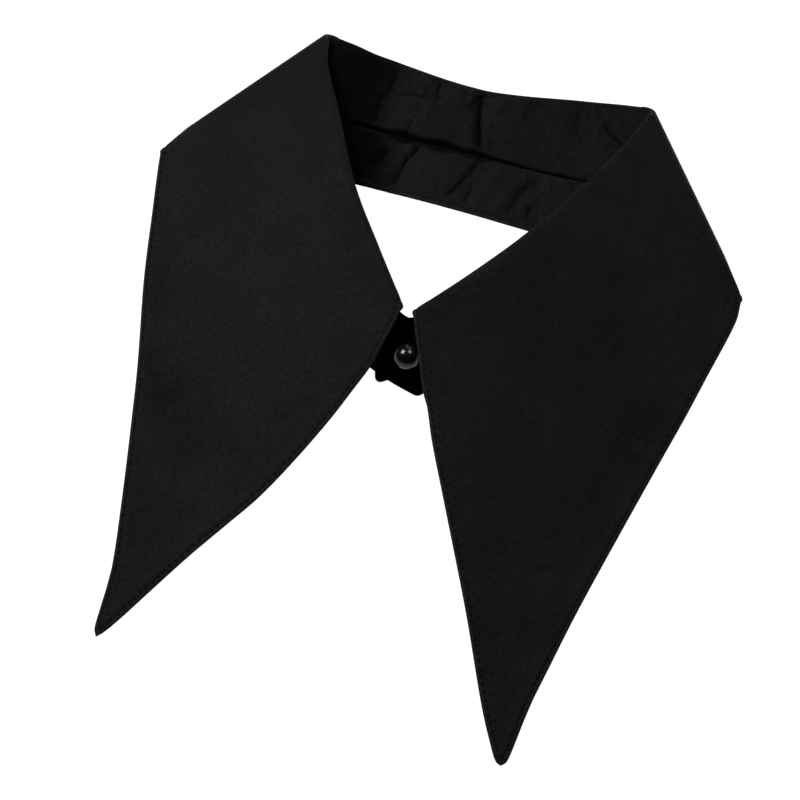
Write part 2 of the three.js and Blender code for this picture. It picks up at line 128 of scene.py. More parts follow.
def through(rows, t):
    """The smooth curve through rows of (place, point), read at t. Places and points may be arrays."""
    t = np.asarray(t, float)[..., None]
    at = [np.asarray(row[0], float)[..., None] for row in rows]
    points = [np.atleast_1d(np.asarray(row[1], float)) for row in rows]
    curve = None
    for k in range(len(rows) - 1):
        low, high, last = max(k - 1, 0), k + 1, min(k + 2, len(rows) - 1)
        span = at[high] - at[k]
        leave = (points[high] - points[low]) / (at[high] - at[low]) * span
        arrive = (points[last] - points[k]) / (at[last] - at[k]) * span
        part = bend(points[k], points[high], leave, arrive, (t - at[k]) / span)
        curve = part if curve is None else np.where(t > at[k], part, curve)
    return curve


def crease_way(side):
    """The directions along a crease and out of its fold, and how long it is."""
    run = np.subtract(CREASE_END[side], CREASE_CORNER[side])
    along = np.array([*run, 0]) / np.hypot(*run)
    outward = np.cross(UP, along)
    return along, outward * np.sign(outward[0] * CREASE_CORNER[side][0]), np.hypot(*run)


def round_crease(side, down, radius, axis, angle):
    """A point of the cloth that goes round a crease: down along it, and turned by angle."""
    along, outward, length = crease_way(side)
    down, radius, axis, angle = (np.asarray(x, float)[..., None] for x in (down, radius, axis, angle))
    slide = CREASE_SLIDE[side][0] - CREASE_SLIDE[side][1] * np.cos(angle)
    return (np.array([*CREASE_CORNER[side], TABLE_SHEET]) + along * (down + slide * (1 - down / length))
            + outward * (radius * np.sin(angle) + CREASE_FALL_RADIUS - axis)
            + UP * (axis - radius * np.cos(angle)))


def across(roll, out, up, radius, seam, hem, turned=1.0):
    """One line across the collar, from the roll to the band's lower edge. turned is 0 beyond the fall."""
    radius = np.asarray(radius, float)[..., None]
    top = roll + out * radius - up * radius
    rise, drop = seam - top, hem - seam
    lean = np.minimum(SEAM_LEAN[0], size(rise) / SEAM_LEAN[1])[..., None] * turned
    way = unit(unit(drop) * (1 - lean) + unit(rise) * lean)
    return {"roll": roll, "out": out, "up": up, "radius": radius,
            "top": top, "seam": seam, "hem": hem, "way": way}


def from_crease(start, rows, entry, at):
    """The smooth curve that starts at a crease and goes through one entry of each row."""
    return through([(0, start)] + [(row[0], row[entry]) for row in rows], at)


def across_side(side, at):
    """The lines across one side of the collar, from its crease at 0 to its front end at 1 and beyond."""
    middle, on_fall = (CREASE_FALL_RADIUS + CREASE_BAND_RADIUS) / 2, np.minimum(at, 1)
    start = [round_crease(side, down, radius, CREASE_FALL_RADIUS, np.pi) for down, radius in
             ((0, middle), (CREASE_SEAM_REACH, CREASE_BAND_RADIUS), (CREASE_HEM_REACH, CREASE_BAND_RADIUS))]
    roll = from_crease(start[0], ROLL[side], 1, on_fall)
    seam = from_crease(start[1], BAND[side], 1, at)
    hem = from_crease(start[2], BAND[side], 2, at)
    turn = from_crease(((CREASE_FALL_RADIUS - CREASE_BAND_RADIUS) / 2, 0), ROLL[side], np.s_[2:4], on_fall)
    pitch = np.radians(turn[..., 1])[..., None]
    low = from_crease(start[2], BAND[side], 2, on_fall)
    flat = unit((low - roll) * (1, 1, 0))
    return across(roll, flat * np.cos(pitch) - UP * np.sin(pitch), flat * np.sin(pitch) + UP * np.cos(pitch),
                  turn[..., 0], seam, hem, (1 - ease((at - 1) / FALL_END))[..., None])


def across_crease(side, angle):
    along, outward, _ = crease_way(side)
    turn = angle[..., None]
    middle = (CREASE_FALL_RADIUS + CREASE_BAND_RADIUS) / 2
    place = [round_crease(side, down, radius, CREASE_FALL_RADIUS, angle) for down, radius in
             ((0, middle), (CREASE_SEAM_REACH, CREASE_BAND_RADIUS), (CREASE_HEM_REACH, CREASE_BAND_RADIUS))]
    return across(place[0], along + 0 * turn, outward * np.sin(turn) - UP * np.cos(turn),
                  middle - CREASE_BAND_RADIUS + 0 * angle, place[1], place[2])


def across_back(at):
    rows = []
    for side, place in (("left", 0), ("right", 1)):
        line = across_crease(side, np.array(0.0))
        rows.append((place, line["roll"][:2], line["radius"][0], line["seam"], line["hem"]))
    rows = [rows[0], *[row[:5] for row in BACK], rows[1]]
    xy, radius, seam, hem = (through([(row[0], row[k]) for row in rows], at) for k in (1, 2, 3, 4))
    roll = np.concatenate([xy, TABLE_SHEET + radius], axis=-1)
    return across(roll, unit((hem - roll) * (1, 1, 0)), -UP + 0 * roll, radius[..., 0], seam, hem)


def on_band(line, t):
    drop = line["hem"] - line["seam"]
    leave = line["way"] * size(drop)[..., None]
    return bend(line["seam"], line["hem"], leave, drop, np.asarray(t)[..., None])


def part_of(lines, wanted):
    return {name: value[wanted] for name, value in lines.items()}


def side_by_side(parts):
    """Lines across the collar, as the columns of one grid."""
    return {name: np.concatenate([part[name] for part in parts])[:, None] for name in parts[0]}


def read_along(at, places, points):
    """The points of a line, read at other places along it."""
    return np.stack([np.interp(at, places, column) for column in points.T], -1)


def beside_line(points, start, middle, end):
    """How far each point is from the curve through three places, its place along it, and its side of it."""
    steps = 8
    line = through([(0, start), (0.5, middle), (1, end)], np.linspace(0, 1, steps + 1))
    best = np.full(points.shape[:-1], np.inf)
    place, beside = np.zeros(best.shape), np.zeros(best.shape)
    for k, (a, b) in enumerate(zip(line, line[1:])):
        run, off = b - a, points[..., :2] - a
        along = np.clip(off @ run / (run @ run), 0, 1)
        away = size(off - along[..., None] * run)
        nearer = away < best
        best, place = np.where(nearer, away, best), np.where(nearer, (k + along) / steps, place)
        beside = np.where(nearer, np.sign(run[0] * off[..., 1] - run[1] * off[..., 0]), beside)
    return best, place, beside


def pressed(points, rows):
    """How deep the listed folds press the cloth in at each point, and how much painted shade they lay in it,
    up to 1. Seen from above and towards its end, a fold drops steeply on the right of its line and comes up
    slowly on the left."""
    depth, fold_shade = np.zeros(points.shape[:-1]), np.zeros(points.shape[:-1])
    for start, middle, end, width, deep in rows:
        best, place, beside = beside_line(points, start, middle, end)
        reach = np.where(beside > 0, FOLD_RECOVERY * width, width)
        fading = ease(FOLD_ENDS[0] * np.minimum(place, 1 - place) + FOLD_ENDS[1])
        depth += deep * fading * np.exp(-((best / reach) ** 2))
        fold_shade = np.maximum(fold_shade, min(deep, 1) * fading * np.exp(-((best / (FOLD_SHADE_WIDTH * width)) ** 2)))
    return depth, fold_shade


def surface_normals(grid):
    """The direction out of each point of a grid, right-handed in the order of its columns and rows."""
    face = np.cross(grid[1:, 1:] - grid[:-1, :-1], grid[:-1, 1:] - grid[1:, :-1])
    normal = np.zeros(grid.shape)
    for i in (0, 1):
        for j in (0, 1):
            normal[i:len(grid) - 1 + i, j:grid.shape[1] - 1 + j] += face
    return unit(normal)


def nearest_to(points, wanted):
    """The number of the point that is nearest to each wanted one."""
    tree = KDTree(len(points))
    for k, point in enumerate(points):
        tree.insert(point, k)
    tree.balance()
    return np.array([tree.find(p)[1] for p in wanted])


def place_on_rows(points, rows_of_stitches, painted_shade):
    """Each point's place along the nearest stitch row, its distance from it, and the painted shade on it."""
    flat = points.reshape(-1, 3)
    starts = np.concatenate([row[:-1] for row in rows_of_stitches])
    runs = [np.diff(row, axis=0) for row in rows_of_stitches]
    places = np.concatenate([np.cumsum(size(run)) - size(run[0]) for run in runs])
    runs = np.concatenate(runs)
    nearest = nearest_to(starts, flat)
    best, at = np.full(len(flat), np.inf), np.zeros(len(flat))
    for k in (nearest, np.maximum(nearest - 1, 0)):
        share = np.clip(((flat - starts[k]) * runs[k]).sum(1) / np.maximum((runs[k] ** 2).sum(1), 1e-9), 0, 1)
        away = size(flat - starts[k] - share[:, None] * runs[k])
        nearer = away < best
        best, at = np.where(nearer, away, best), np.where(nearer, places[k] + share * size(runs[k]), at)
    return np.stack([at, best, painted_shade.ravel()], axis=-1).reshape(points.shape)


def new_piece(name, points, faces):
    """An object with smooth faces. Its points are in millimetres."""
    mesh = bpy.data.meshes.new(name)
    mesh.from_pydata((np.array(points) / 1000).tolist(), [], faces)
    mesh.shade_smooth()
    piece = bpy.data.objects.new(name, mesh)
    bpy.context.scene.collection.objects.link(piece)
    return piece


def sewn_sheet(name, middle, half, cloth, rows_of_stitches, painted_shade):
    """A closed sheet of cloth about a grid of points. Its two faces meet along the rim, where half its
    thickness is 0. cloth holds each point's place on the flat cut and its distance from the edge. The last
    argument is painted shade: 0 for plain cloth and 1 for the darkest, as in the bottom of a fold."""
    columns, rows = half.shape
    normal = surface_normals(middle)
    faces = np.concatenate([(middle + way * normal * half[..., None]).reshape(-1, 3) for way in (1, -1)])
    over = np.arange(columns * rows).reshape(columns, rows)
    under = over + columns * rows
    for rim in (np.s_[0, :], np.s_[-1, :], np.s_[:, 0], np.s_[:, -1]):
        under[rim] = over[rim]
    quads = [np.stack([g[:-1, :-1], g[1:, :-1], g[1:, 1:], g[:-1, 1:]], -1).reshape(-1, 4)
             for g in (over, under)]
    used, index = np.unique(np.concatenate([quads[0], quads[1][:, ::-1]]), return_inverse=True)
    piece = new_piece(name, faces[used], index.reshape(-1, 4).tolist())
    by_column, by_row = ([np.gradient(values, axis=k) for values in (cloth, middle)] for k in (0, 1))
    weft = unit(by_row[1] * by_column[0][..., :1] - by_column[1] * by_row[0][..., :1])
    on_rows = place_on_rows(middle, rows_of_stitches, painted_shade)
    for label, values in (("cloth_mm", cloth), ("stitch_mm", on_rows), ("weft_way", weft)):
        both = np.concatenate([values.reshape(-1, 3)] * 2)[used]
        kept = piece.data.attributes.new(label, "FLOAT_VECTOR", "POINT")
        kept.data.foreach_set("vector", both.astype(np.float32).ravel())
    return piece


BAND_TIP = 1.25           # place along the side where the lapped ends stop
BAND_CORNER = 3           # rounding of the band's two ends
HEM_STITCHES = 1.8        # the stitch row's distance from the edge
ROW_START = 1.2           # and from the top edge, where it starts
RIM_GAP = 0.03            # each piece's rim lies this far from the seam line
BAND_COLUMNS = {"side": 70, "crease": 14, "back": 150}
BAND_ROWS = 22
# distance from a turned edge, half the thickness there: the fold, a lip, the stitches' groove, the plies
BAND_EDGE = np.array([
    (0, 0), (0.08, 0.3), (0.22, 0.48), (0.45, 0.64), (0.8, 0.76), (1.15, 0.79), (1.5, 0.72),
    (1.8, 0.66), (2.1, 0.73), (2.5, 0.81), (3.4, 0.84), (5, 0.84), (7, 0.8)])
# the same at the seam, where the cloth rolls down to the stitches that hold the fall
SEAM_EDGE = np.array([
    (0, 0), (0.12, 0.2), (0.35, 0.38), (0.7, 0.58), (1.1, 0.74), (1.6, 0.83), (2.2, 0.85), (3, 0.8)])
SEAM_PULL = (1.0, 1.0)    # the stitches draw both pieces down into the seam this deep, over this distance
# Painted shade: cloth is drawn darker and without gloss in folds, beside the seam and round the button
# too, where shade falls, because the table is lit and takes no shadow.
SEAM_SHADE_REACH = (2.7, 0.95)  # how far from the seam the painted shade reaches, on the back's left half and on its right
SHADE_REACH_CHANGE = (-12, 40)  # the one goes over into the other from this far across, over this length
SHADE_REACH_WAVES = (0.25, 2.6)  # and both are wavy: by this part, with this length over 2 pi
ENDS_PAINTED_SHADE = (36, 14)   # painted shade covers the ends of the band over this length, and fades over the next
FOLD_RECOVERY = 4         # a fold comes up over this many times the width of its drop
FOLD_ENDS = (6, 0.2)      # it fades towards its two ends: how fast, and from what, before easing
FOLD_SHADE_WIDTH = 0.6         # its painted shade covers this part of the drop's width
FOLDS_FROM_SEAM = 3       # and it is drawn in full this far from the seam
FOLDS_SHOW = ((-63, 57), (-40, 5))  # the band is creased only inside the back, within these
# folds in the band where it shows inside the back: start, middle, end, width, depth
BAND_CREASES = [
    ((-36.3, -13.1), (-38.6, -18.1), (-40.5, -22), 1.4, 0.8),
    ((-31.2, -9.6), (-35.6, -18.3), (-38.9, -30), 1.8, 1.6),
    ((-20.3, -5.5), (-24, -14.6), (-25.9, -30.6), 1.2, 1.5),
    ((5, -4.4), (0.9, -16.2), (-3.3, -29), 1.7, 0.8),
    ((4.7, -17.5), (4.5, -24), (4.4, -29.5), 1, 0.6),
    ((30, -5.4), (24.6, -15.3), (20.8, -29.6), 2.6, 0.45),
    ((29.3, -20.1), (30, -24), (30.5, -28.2), 1.3, 0.7),
]
# painted shade: the back half lies in shade between a line through three places and the left crease, and is
# drawn darker there: the places, how far it takes to fade, and how strong the painted shade is at the most
BAND_HOLLOW_SHADE = ((-36, -2), (-30, -15), (-26, -30), 16, 0.85)
RISE_HOLLOW_SHADE = ((-39, 25.3), (-40.5, 10), (-37, -8), 18, 0.72)


def hollow_shade(points, start, middle, end, fading, most):
    """How much painted shade lies on the back half beside the left crease."""
    away, _, beside = beside_line(points, start, middle, end)
    return most * ease(0.5 - beside * away / fading)


def seam_shade(from_seam, points):
    """How much painted shade lies on the cloth beside the seam."""
    change = ease((points[..., 0] - SHADE_REACH_CHANGE[0]) / SHADE_REACH_CHANGE[1])
    reach = SEAM_SHADE_REACH[0] + (SEAM_SHADE_REACH[1] - SEAM_SHADE_REACH[0]) * change
    reach = reach * (1 + SHADE_REACH_WAVES[0] * np.sin(points[..., 0] / SHADE_REACH_WAVES[1]))
    return np.exp(-((from_seam / reach) ** 4))


def pulled_in(from_seam):
    """How deep the stitches draw the cloth down beside the seam."""
    return SEAM_PULL[0] * np.exp(-((from_seam / SEAM_PULL[1]) ** 2))


band_lines = []
for side in ("left", "right"):
    ruler = np.linspace(0, BAND_TIP, 500)
    middle = on_band(across_side(side, ruler), np.full(len(ruler), 0.5))
    to_end = np.append(np.cumsum(size(np.diff(middle, axis=0))[::-1])[::-1], 0)
    apart = np.append(BAND_EDGE[:, 0], np.linspace(BAND_EDGE[-1, 0], to_end[0], BAND_COLUMNS["side"])[1:])
    band_lines.append(across_side(side, np.interp(apart, to_end[::-1], ruler[::-1])))
BAND_SIDE = len(band_lines[0]["radius"])
turn = np.linspace(np.pi, 0, BAND_COLUMNS["crease"])
band_lines = side_by_side([
    band_lines[0],
    across_crease("left", turn[1:]),
    across_back(np.linspace(0, 1, BAND_COLUMNS["back"])[1:]),
    across_crease("right", turn[::-1][1:]),
    part_of(band_lines[1], np.s_[-2::-1]),
])
band_drop = size(band_lines["hem"] - band_lines["seam"])
run = np.append(0, np.cumsum(size(np.diff(on_band(band_lines, np.full((1, 1), 0.5))[:, 0], axis=0))))
from_end = np.minimum(run, run[-1] - run)[:, None]
corner = BAND_CORNER - np.sqrt(BAND_CORNER ** 2 - np.maximum(BAND_CORNER - from_end, 0) ** 2)
band_down = np.array([
    np.concatenate([
        start + SEAM_EDGE[:-1, 0],
        np.linspace(start + SEAM_EDGE[-1, 0], stop - BAND_EDGE[-1, 0], BAND_ROWS),
        stop - BAND_EDGE[-2::-1, 0]])
    for start, stop in zip(corner[:, 0] + RIM_GAP, (band_drop - corner)[:, 0])])
band_middle = on_band(band_lines, band_down / band_drop)


def from_corner(a, b):
    """The distance in from a rounded corner whose edges are a and b away."""
    near = np.hypot(np.maximum(BAND_CORNER - a, 0), np.maximum(BAND_CORNER - b, 0))
    return np.where(np.minimum(a, b) > BAND_CORNER, np.minimum(a, b), BAND_CORNER - near)


from_hem = from_corner(from_end + 0 * band_down, band_drop - band_down)
from_seam = np.where(from_end < BAND_CORNER, from_corner(from_end + 0 * band_down, band_down), band_down)
band_half = np.minimum(np.interp(from_hem, *BAND_EDGE.T), np.interp(from_seam, *SEAM_EDGE.T))
shown = np.all([(low < band_middle[..., k]) & (band_middle[..., k] < high)
                for k, (low, high) in enumerate(FOLDS_SHOW)], axis=0)
band_back = np.zeros(len(band_middle))
band_back[BAND_SIDE + BAND_COLUMNS["crease"] - 1:-BAND_SIDE - BAND_COLUMNS["crease"] + 1] = 1
dents, fold_shade = (values * shown for values in pressed(band_middle, BAND_CREASES))
# painted shade on the band: in its folds, beside the seam, in the hollow by the left crease and at its ends
shaded = np.maximum(seam_shade(band_down, band_middle), hollow_shade(band_middle, *BAND_HOLLOW_SHADE))
band_painted_shade = np.maximum(fold_shade, shaded * band_back[:, None])
band_painted_shade = np.maximum(band_painted_shade, 1 - ease((from_end - ENDS_PAINTED_SHADE[0]) / ENDS_PAINTED_SHADE[1]))
depth = dents * ease(band_down / FOLDS_FROM_SEAM) + pulled_in(band_down) * band_back[:, None]
band_middle = band_middle + surface_normals(band_middle) * depth[..., None]

# its stitch row goes up both ends and all along the lower edge
end_row, corner_row = [], BAND_CORNER - HEM_STITCHES
for k in (0, -1):
    deep = band_drop[k, 0]
    curve = [(HEM_STITCHES, down) for down in np.linspace(ROW_START, deep - BAND_CORNER, 24)]
    curve += [(BAND_CORNER - corner_row * np.cos(a), deep - BAND_CORNER + corner_row * np.sin(a))
              for a in np.linspace(0, np.pi / 2, 8)[1:]]
    away, down = np.array(curve).T
    near = run if k == 0 else (run[-1] - run)[::-1]
    line = part_of(band_lines, np.s_[:, 0] if k == 0 else np.s_[::-1, 0])
    line = {name: read_along(away, near, points) for name, points in line.items()}
    end_row.append(on_band(line, down / size(line["hem"] - line["seam"])))
hem_row = band_middle[(from_end > BAND_CORNER)[:, 0], -1 - list(BAND_EDGE[:, 0]).index(HEM_STITCHES)]
band_row = np.concatenate([end_row[0], hem_row, end_row[1][::-1]])
band_cloth = np.stack([(run - run[-1] / 2)[:, None] + 0 * band_down, band_down, from_hem], axis=-1)
neck_band = sewn_sheet("neck_band_cloth", band_middle, band_half, band_cloth, [band_row], band_painted_shade)


def colour(code):
    """An sRGB hex colour as linear values."""
    parts = np.array([int(code[k:k + 2], 16) / 255 for k in (1, 3, 5)])
    return [*np.where(parts <= 0.04045, parts / 12.92, ((parts + 0.055) / 1.055) ** 2.4), 1.0]


def add(tree, kind, settings=(), links=()):
    """Adds a node. Settings are its own properties or the values of its sockets. Links go into its sockets,
    from a socket of another node, or from the first one of a node that is given whole. A mix node takes its
    two colours at 6 and 7 and gives the mixed one at 2."""
    node = tree.nodes.new(kind)
    for name, value in dict(settings).items():
        if isinstance(name, int) or name in node.inputs:
            node.inputs[name].default_value = value
        else:
            setattr(node, name, value)
    for name, source in dict(links).items():
        tree.links.new(getattr(source, "outputs", [source])[0], node.inputs[name])
    return node


def blank_material(name):
    material = bpy.data.materials.new(name)
    material.use_nodes = True
    material.node_tree.nodes.clear()
    return material, material.node_tree


# Poplin is a close plain weave with a fine cross rib. The real one has about 50 threads a centimetre,
# under half a pixel of the picture, so it is drawn at 0.5 mm and 0.6 mm, where it just shows as a grain.
WARP_MM, WEFT_MM = 0.5, 0.6
STITCH_PITCH = 2.9
NEEDLE_HOLE = (0.2, 0.65)   # radius of the hole itself, and of the cloth drawn in round it
HOLE_DARK = 0.65            # the painted shade in a needle hole is this dark, where 1 is the darkest
CRUMPLE_FADE = 6            # the creased part of the cut fades in over this length
CRUMPLE_WIDE = (65.0, 85.0)     # and out between these distances from the middle of the back
WORN_EDGE = (0.3, 1.3)      # the cloth is worn this far in from a folded edge, and no longer this far in
# how far each moves the cloth from its darkest shade at 0 to its worn shade at 1: where the shade starts
# from, the unevenness from pressing, the fibre, the worn edges and the weave's crowns
PLAIN_SHADE, MOTTLE_PALER, FIBRE_PALER, WORN_PALER, WEAVE_PALER = -1.145, 0.25, 2.4, 0.75, 0.16
# how high each stands in the relief: the weave's crowns, creases, puckers, fibre, slubs, needle holes
WEAVE_HIGH, CREASE_HIGH, PUCKER_HIGH, FIBRE_HIGH, SLUB_HIGH, HOLE_HIGH = 0.045, 1.5, 0.8, 0.22, 0.05, -0.25


def black_poplin(name, cloth, worn, crumpled_from):
    """Black cotton poplin: dull, nearly black, with a faint bloom of fibre where it is seen aslant. Further
    across the cut than crumpled_from, at the back, it is full of small creases that run across the strip. It
    carries painted shade, darker and without gloss, where the stitch_mm attribute's third value says."""
    material, tree = blank_material(name)
    flat = add(tree, "ShaderNodeAttribute", {"attribute_name": "cloth_mm"})
    sewn = add(tree, "ShaderNodeAttribute", {"attribute_name": "stitch_mm"})
    weft_way = add(tree, "ShaderNodeAttribute", {"attribute_name": "weft_way"})
    place = add(tree, "ShaderNodeSeparateXYZ", links={0: flat.outputs["Vector"]})
    stitch = add(tree, "ShaderNodeSeparateXYZ", links={0: sewn.outputs["Vector"]})
    laid = add(tree, "ShaderNodeCombineXYZ", links={0: place.outputs["X"], 1: place.outputs["Y"]})
    warp = add(tree, "ShaderNodeMath", {"operation": "MULTIPLY", 1: np.pi / WARP_MM}, {0: place.outputs["X"]})
    weft = add(tree, "ShaderNodeMath", {"operation": "MULTIPLY", 1: np.pi / WEFT_MM}, {0: place.outputs["Y"]})
    over = add(tree, "ShaderNodeMath", {"operation": "SINE"}, {0: warp})
    under = add(tree, "ShaderNodeMath", {"operation": "SINE"}, {0: weft})
    weave = add(tree, "ShaderNodeMath", {"operation": "MULTIPLY"}, {0: over, 1: under})
    # fibre that stands up in tufts about 2 mm across, and finer (a noise's scale is in tufts per millimetre)
    fibre = add(tree, "ShaderNodeTexNoise", {"Scale": 0.55, "Detail": 5.0, "Roughness": 0.85},
                {"Vector": laid})
    # slubs: threads that are a little thick for a centimetre or two
    stretch = add(tree, "ShaderNodeMapping", {"Scale": (0.08, 1.6, 1.0)}, {"Vector": laid})
    slub = add(tree, "ShaderNodeTexNoise", {"Scale": 1.0, "Detail": 2.0, "Roughness": 0.5},
               {"Vector": stretch})
    # soft unevenness from pressing, 25 mm across
    mottle = add(tree, "ShaderNodeTexNoise", {"Scale": 0.04, "Detail": 3.0, "Roughness": 0.5},
                 {"Vector": laid})
    # small creases 6 mm apart and up to 15 mm long, at the back where the strip is bent round the neck
    strip = add(tree, "ShaderNodeMapping", {"Scale": (0.17, 0.07, 1.0), "Rotation": (0.0, 0.0, 0.3)},
                {"Vector": laid})
    crease = add(tree, "ShaderNodeTexNoise", {"Scale": 1.0, "Detail": 1.5, "Roughness": 0.45,
                                              "Distortion": 0.4}, {"Vector": strip})
    inside = add(tree, "ShaderNodeMapRange", {"interpolation_type": "SMOOTHSTEP", "From Min": crumpled_from,
                                              "From Max": crumpled_from + CRUMPLE_FADE},
                 {"Value": place.outputs["Y"]})
    sideways = add(tree, "ShaderNodeMath", {"operation": "ABSOLUTE"}, {0: place.outputs["X"]})
    behind = add(tree, "ShaderNodeMapRange", {"interpolation_type": "SMOOTHSTEP", "From Min": CRUMPLE_WIDE[0],
                                              "From Max": CRUMPLE_WIDE[1], "To Min": 1.0, "To Max": 0.0},
                 {"Value": sideways})
    crumple = add(tree, "ShaderNodeMath", {"operation": "MULTIPLY"}, {0: crease, 1: inside})
    crumple = add(tree, "ShaderNodeMath", {"operation": "MULTIPLY"}, {0: crumple, 1: behind})
    # and soft puckers from wear, 9 mm across
    pucker = add(tree, "ShaderNodeTexNoise", {"Scale": 0.11, "Detail": 2.0, "Roughness": 0.5},
                 {"Vector": laid})
    # a needle hole every stitch: a pit in the relief, with painted shade in it
    phase = add(tree, "ShaderNodeMath", {"operation": "DIVIDE", 1: STITCH_PITCH}, {0: stitch.outputs["X"]})
    whole = add(tree, "ShaderNodeMath", {"operation": "ROUND"}, {0: phase})
    apart = add(tree, "ShaderNodeMath", {"operation": "SUBTRACT"}, {0: phase, 1: whole})
    apart = add(tree, "ShaderNodeMath", {"operation": "MULTIPLY", 1: STITCH_PITCH}, {0: apart})
    beside = add(tree, "ShaderNodeCombineXYZ", links={0: apart, 1: stitch.outputs["Y"]})
    away = add(tree, "ShaderNodeVectorMath", {"operation": "LENGTH"}, {0: beside})
    hole = add(tree, "ShaderNodeMapRange", {"interpolation_type": "SMOOTHSTEP", "From Min": NEEDLE_HOLE[0],
                                            "From Max": NEEDLE_HOLE[1], "To Min": HOLE_DARK, "To Max": 0.0},
               {"Value": away.outputs["Value"]})
    # colour: dyed cloth, uneven with its fibre and weave, and a shade paler on its worn folded edges
    edge = add(tree, "ShaderNodeMapRange", {"interpolation_type": "SMOOTHSTEP", "From Min": WORN_EDGE[0],
                                            "From Max": WORN_EDGE[1], "To Min": 1.0, "To Max": 0.0},
               {"Value": place.outputs["Z"]})
    patchy = add(tree, "ShaderNodeMapRange", {"From Min": 0.3, "From Max": 0.7, "To Min": 0.0, "To Max": 1.0},
                 {"Value": mottle})
    dyed = add(tree, "ShaderNodeMath", {"operation": "MULTIPLY_ADD", 1: MOTTLE_PALER, 2: PLAIN_SHADE},
               {0: patchy})
    dyed = add(tree, "ShaderNodeMath", {"operation": "MULTIPLY_ADD", 1: FIBRE_PALER}, {0: fibre, 2: dyed})
    faded = add(tree, "ShaderNodeMath", {"operation": "MULTIPLY_ADD", 1: WORN_PALER}, {0: edge, 2: dyed})
    grain = add(tree, "ShaderNodeMath", {"operation": "MULTIPLY_ADD", 1: WEAVE_PALER}, {0: weave, 2: faded})
    base = add(tree, "ShaderNodeMix", {"data_type": "RGBA", 6: colour(cloth), 7: colour(worn)},
               {"Factor": grain})
    # painted shade: in folds, beside the seam and other shaded places, and round a needle hole, the cloth is
    # drawn blacker and without gloss
    painted_shade_mask = add(tree, "ShaderNodeMath", {"operation": "MAXIMUM"}, {0: hole, 1: stitch.outputs["Z"]})
    painted_shade_base = add(tree, "ShaderNodeMix", {"data_type": "RGBA", 7: colour("#010101")},
                 {"Factor": painted_shade_mask, 6: base.outputs[2]})
    # relief in millimetres
    relief = add(tree, "ShaderNodeMath", {"operation": "MULTIPLY", 1: WEAVE_HIGH}, {0: weave})
    for source, height in ((crumple, CREASE_HIGH), (pucker, PUCKER_HIGH), (fibre, FIBRE_HIGH),
                           (slub, SLUB_HIGH), (hole, HOLE_HIGH)):
        relief = add(tree, "ShaderNodeMath", {"operation": "MULTIPLY_ADD", 1: height}, {0: source, 2: relief})
    bump = add(tree, "ShaderNodeBump", {"Strength": 1.0, "Distance": 0.001}, {"Height": relief})
    rough = add(tree, "ShaderNodeMapRange", {"From Min": 0.3, "From Max": 0.7, "To Min": 0.66,
                                             "To Max": 0.56}, {"Value": fibre})
    rougher = add(tree, "ShaderNodeMix", {"data_type": "FLOAT", 3: 1.0}, {"Factor": painted_shade_mask, 2: rough})
    # the painted shade also dims the gloss
    gloss = add(tree, "ShaderNodeMix", {"data_type": "RGBA", 6: colour("#ffffff"), 7: colour("#303030")},
                {"Factor": painted_shade_mask})
    # the threads of the warp lie side by side like fine round rods, so the gloss spreads across them, and a
    # little fibre stands up on them as a bloom
    shader = add(tree, "ShaderNodeBsdfPrincipled", {
        "IOR": 1.5, "Specular IOR Level": 0.0515, "Anisotropic": 0.5,
        "Sheen Weight": 0.03, "Sheen Roughness": 0.4,
    }, {"Base Color": painted_shade_base.outputs[2], "Roughness": rougher, "Specular Tint": gloss.outputs[2],
        "Normal": bump, "Tangent": weft_way.outputs["Vector"]})
    add(tree, "ShaderNodeOutputMaterial", links={"Surface": shader})
    return material


band_poplin = black_poplin("black_poplin_band", "#030303", "#121212", -20)
neck_band.data.materials.append(band_poplin)
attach(neck_band, "root")
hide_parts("neck_band")

# Fall: two plies of the same poplin and an interlining, seamed along the edges, turned out and
# topstitched. It is sewn to the band's top edge, rises inside the neck, turns over at the roll and
# lies outside as two long pointed leaves.
LEAF_DROP = 48             # past the band's lower edge the leaf comes down to the table
OUTER_DROP_END = 0.5       # the outer edge is down by this place along the side
ROLL_SOFTNESS = 14         # the roll's fullness is gone this far out
EDGE_STITCHES = 1.7
RISE_STITCHES = 3.16       # a row just inside the roll, this far from its outermost line
FALL_COLUMNS = {"side": 64, "crease": 14, "back": 150}
LEAF_ROWS, ROLL_ROWS, RISE_ROWS = 54, 8, 24
LEAST_SLANT = 0.36         # of a column to the edge, where they nearly run together at the crease
RIM_SKEW = 1.5             # the free edge crosses the crease aslant: this much further out on the leaf
LEAF_SAG = 1.5             # 1 is a flat leaf from the roll to the table, more sags
LEAF_FREE = 0.3            # from the crease to this place along the side the leaf comes to hang by itself
LEAF_EASE = 2              # the hanging leaf and the band under it meet over this height
SETTLE_REACH = 10          # the leaf has come off the roll onto what is under it this far out
FAR_IN = 99                # stands for a point that no edge is near
SHORT_RISE = 12            # a rise that is shorter than this has its rows near the seam drawn closer
SHORT_REST = 7             # and those near the roll, where less than this is left beside those at the seam
ROLL_GROOVE = (0.12, 0.35) # the row under the roll lies in a groove: its depth, and how wide it is each way
ROW_SHORT = 4              # that row stops this many columns short of the leaves' fronts
RISE_FOLDS = (3, 4)        # this far from the roll the rise's painted shade is full, and its folds are deep in full
DENT_FADE = (1, 6)         # a leaf's dents start this far in from its edge, and are full after the next length
CUT_RULER = 12             # the direction across the flat cut is taken from the leaf's last rows, this many
# distance from a turned edge, half the thickness there
FALL_EDGE = np.array([
    (0, 0), (0.08, 0.27), (0.22, 0.42), (0.45, 0.56), (0.8, 0.66), (1.1, 0.67), (1.4, 0.58),
    (1.7, 0.5), (2, 0.58), (2.4, 0.68), (3.1, 0.71), (4.5, 0.7), (6, 0.66), (8, 0.6)])
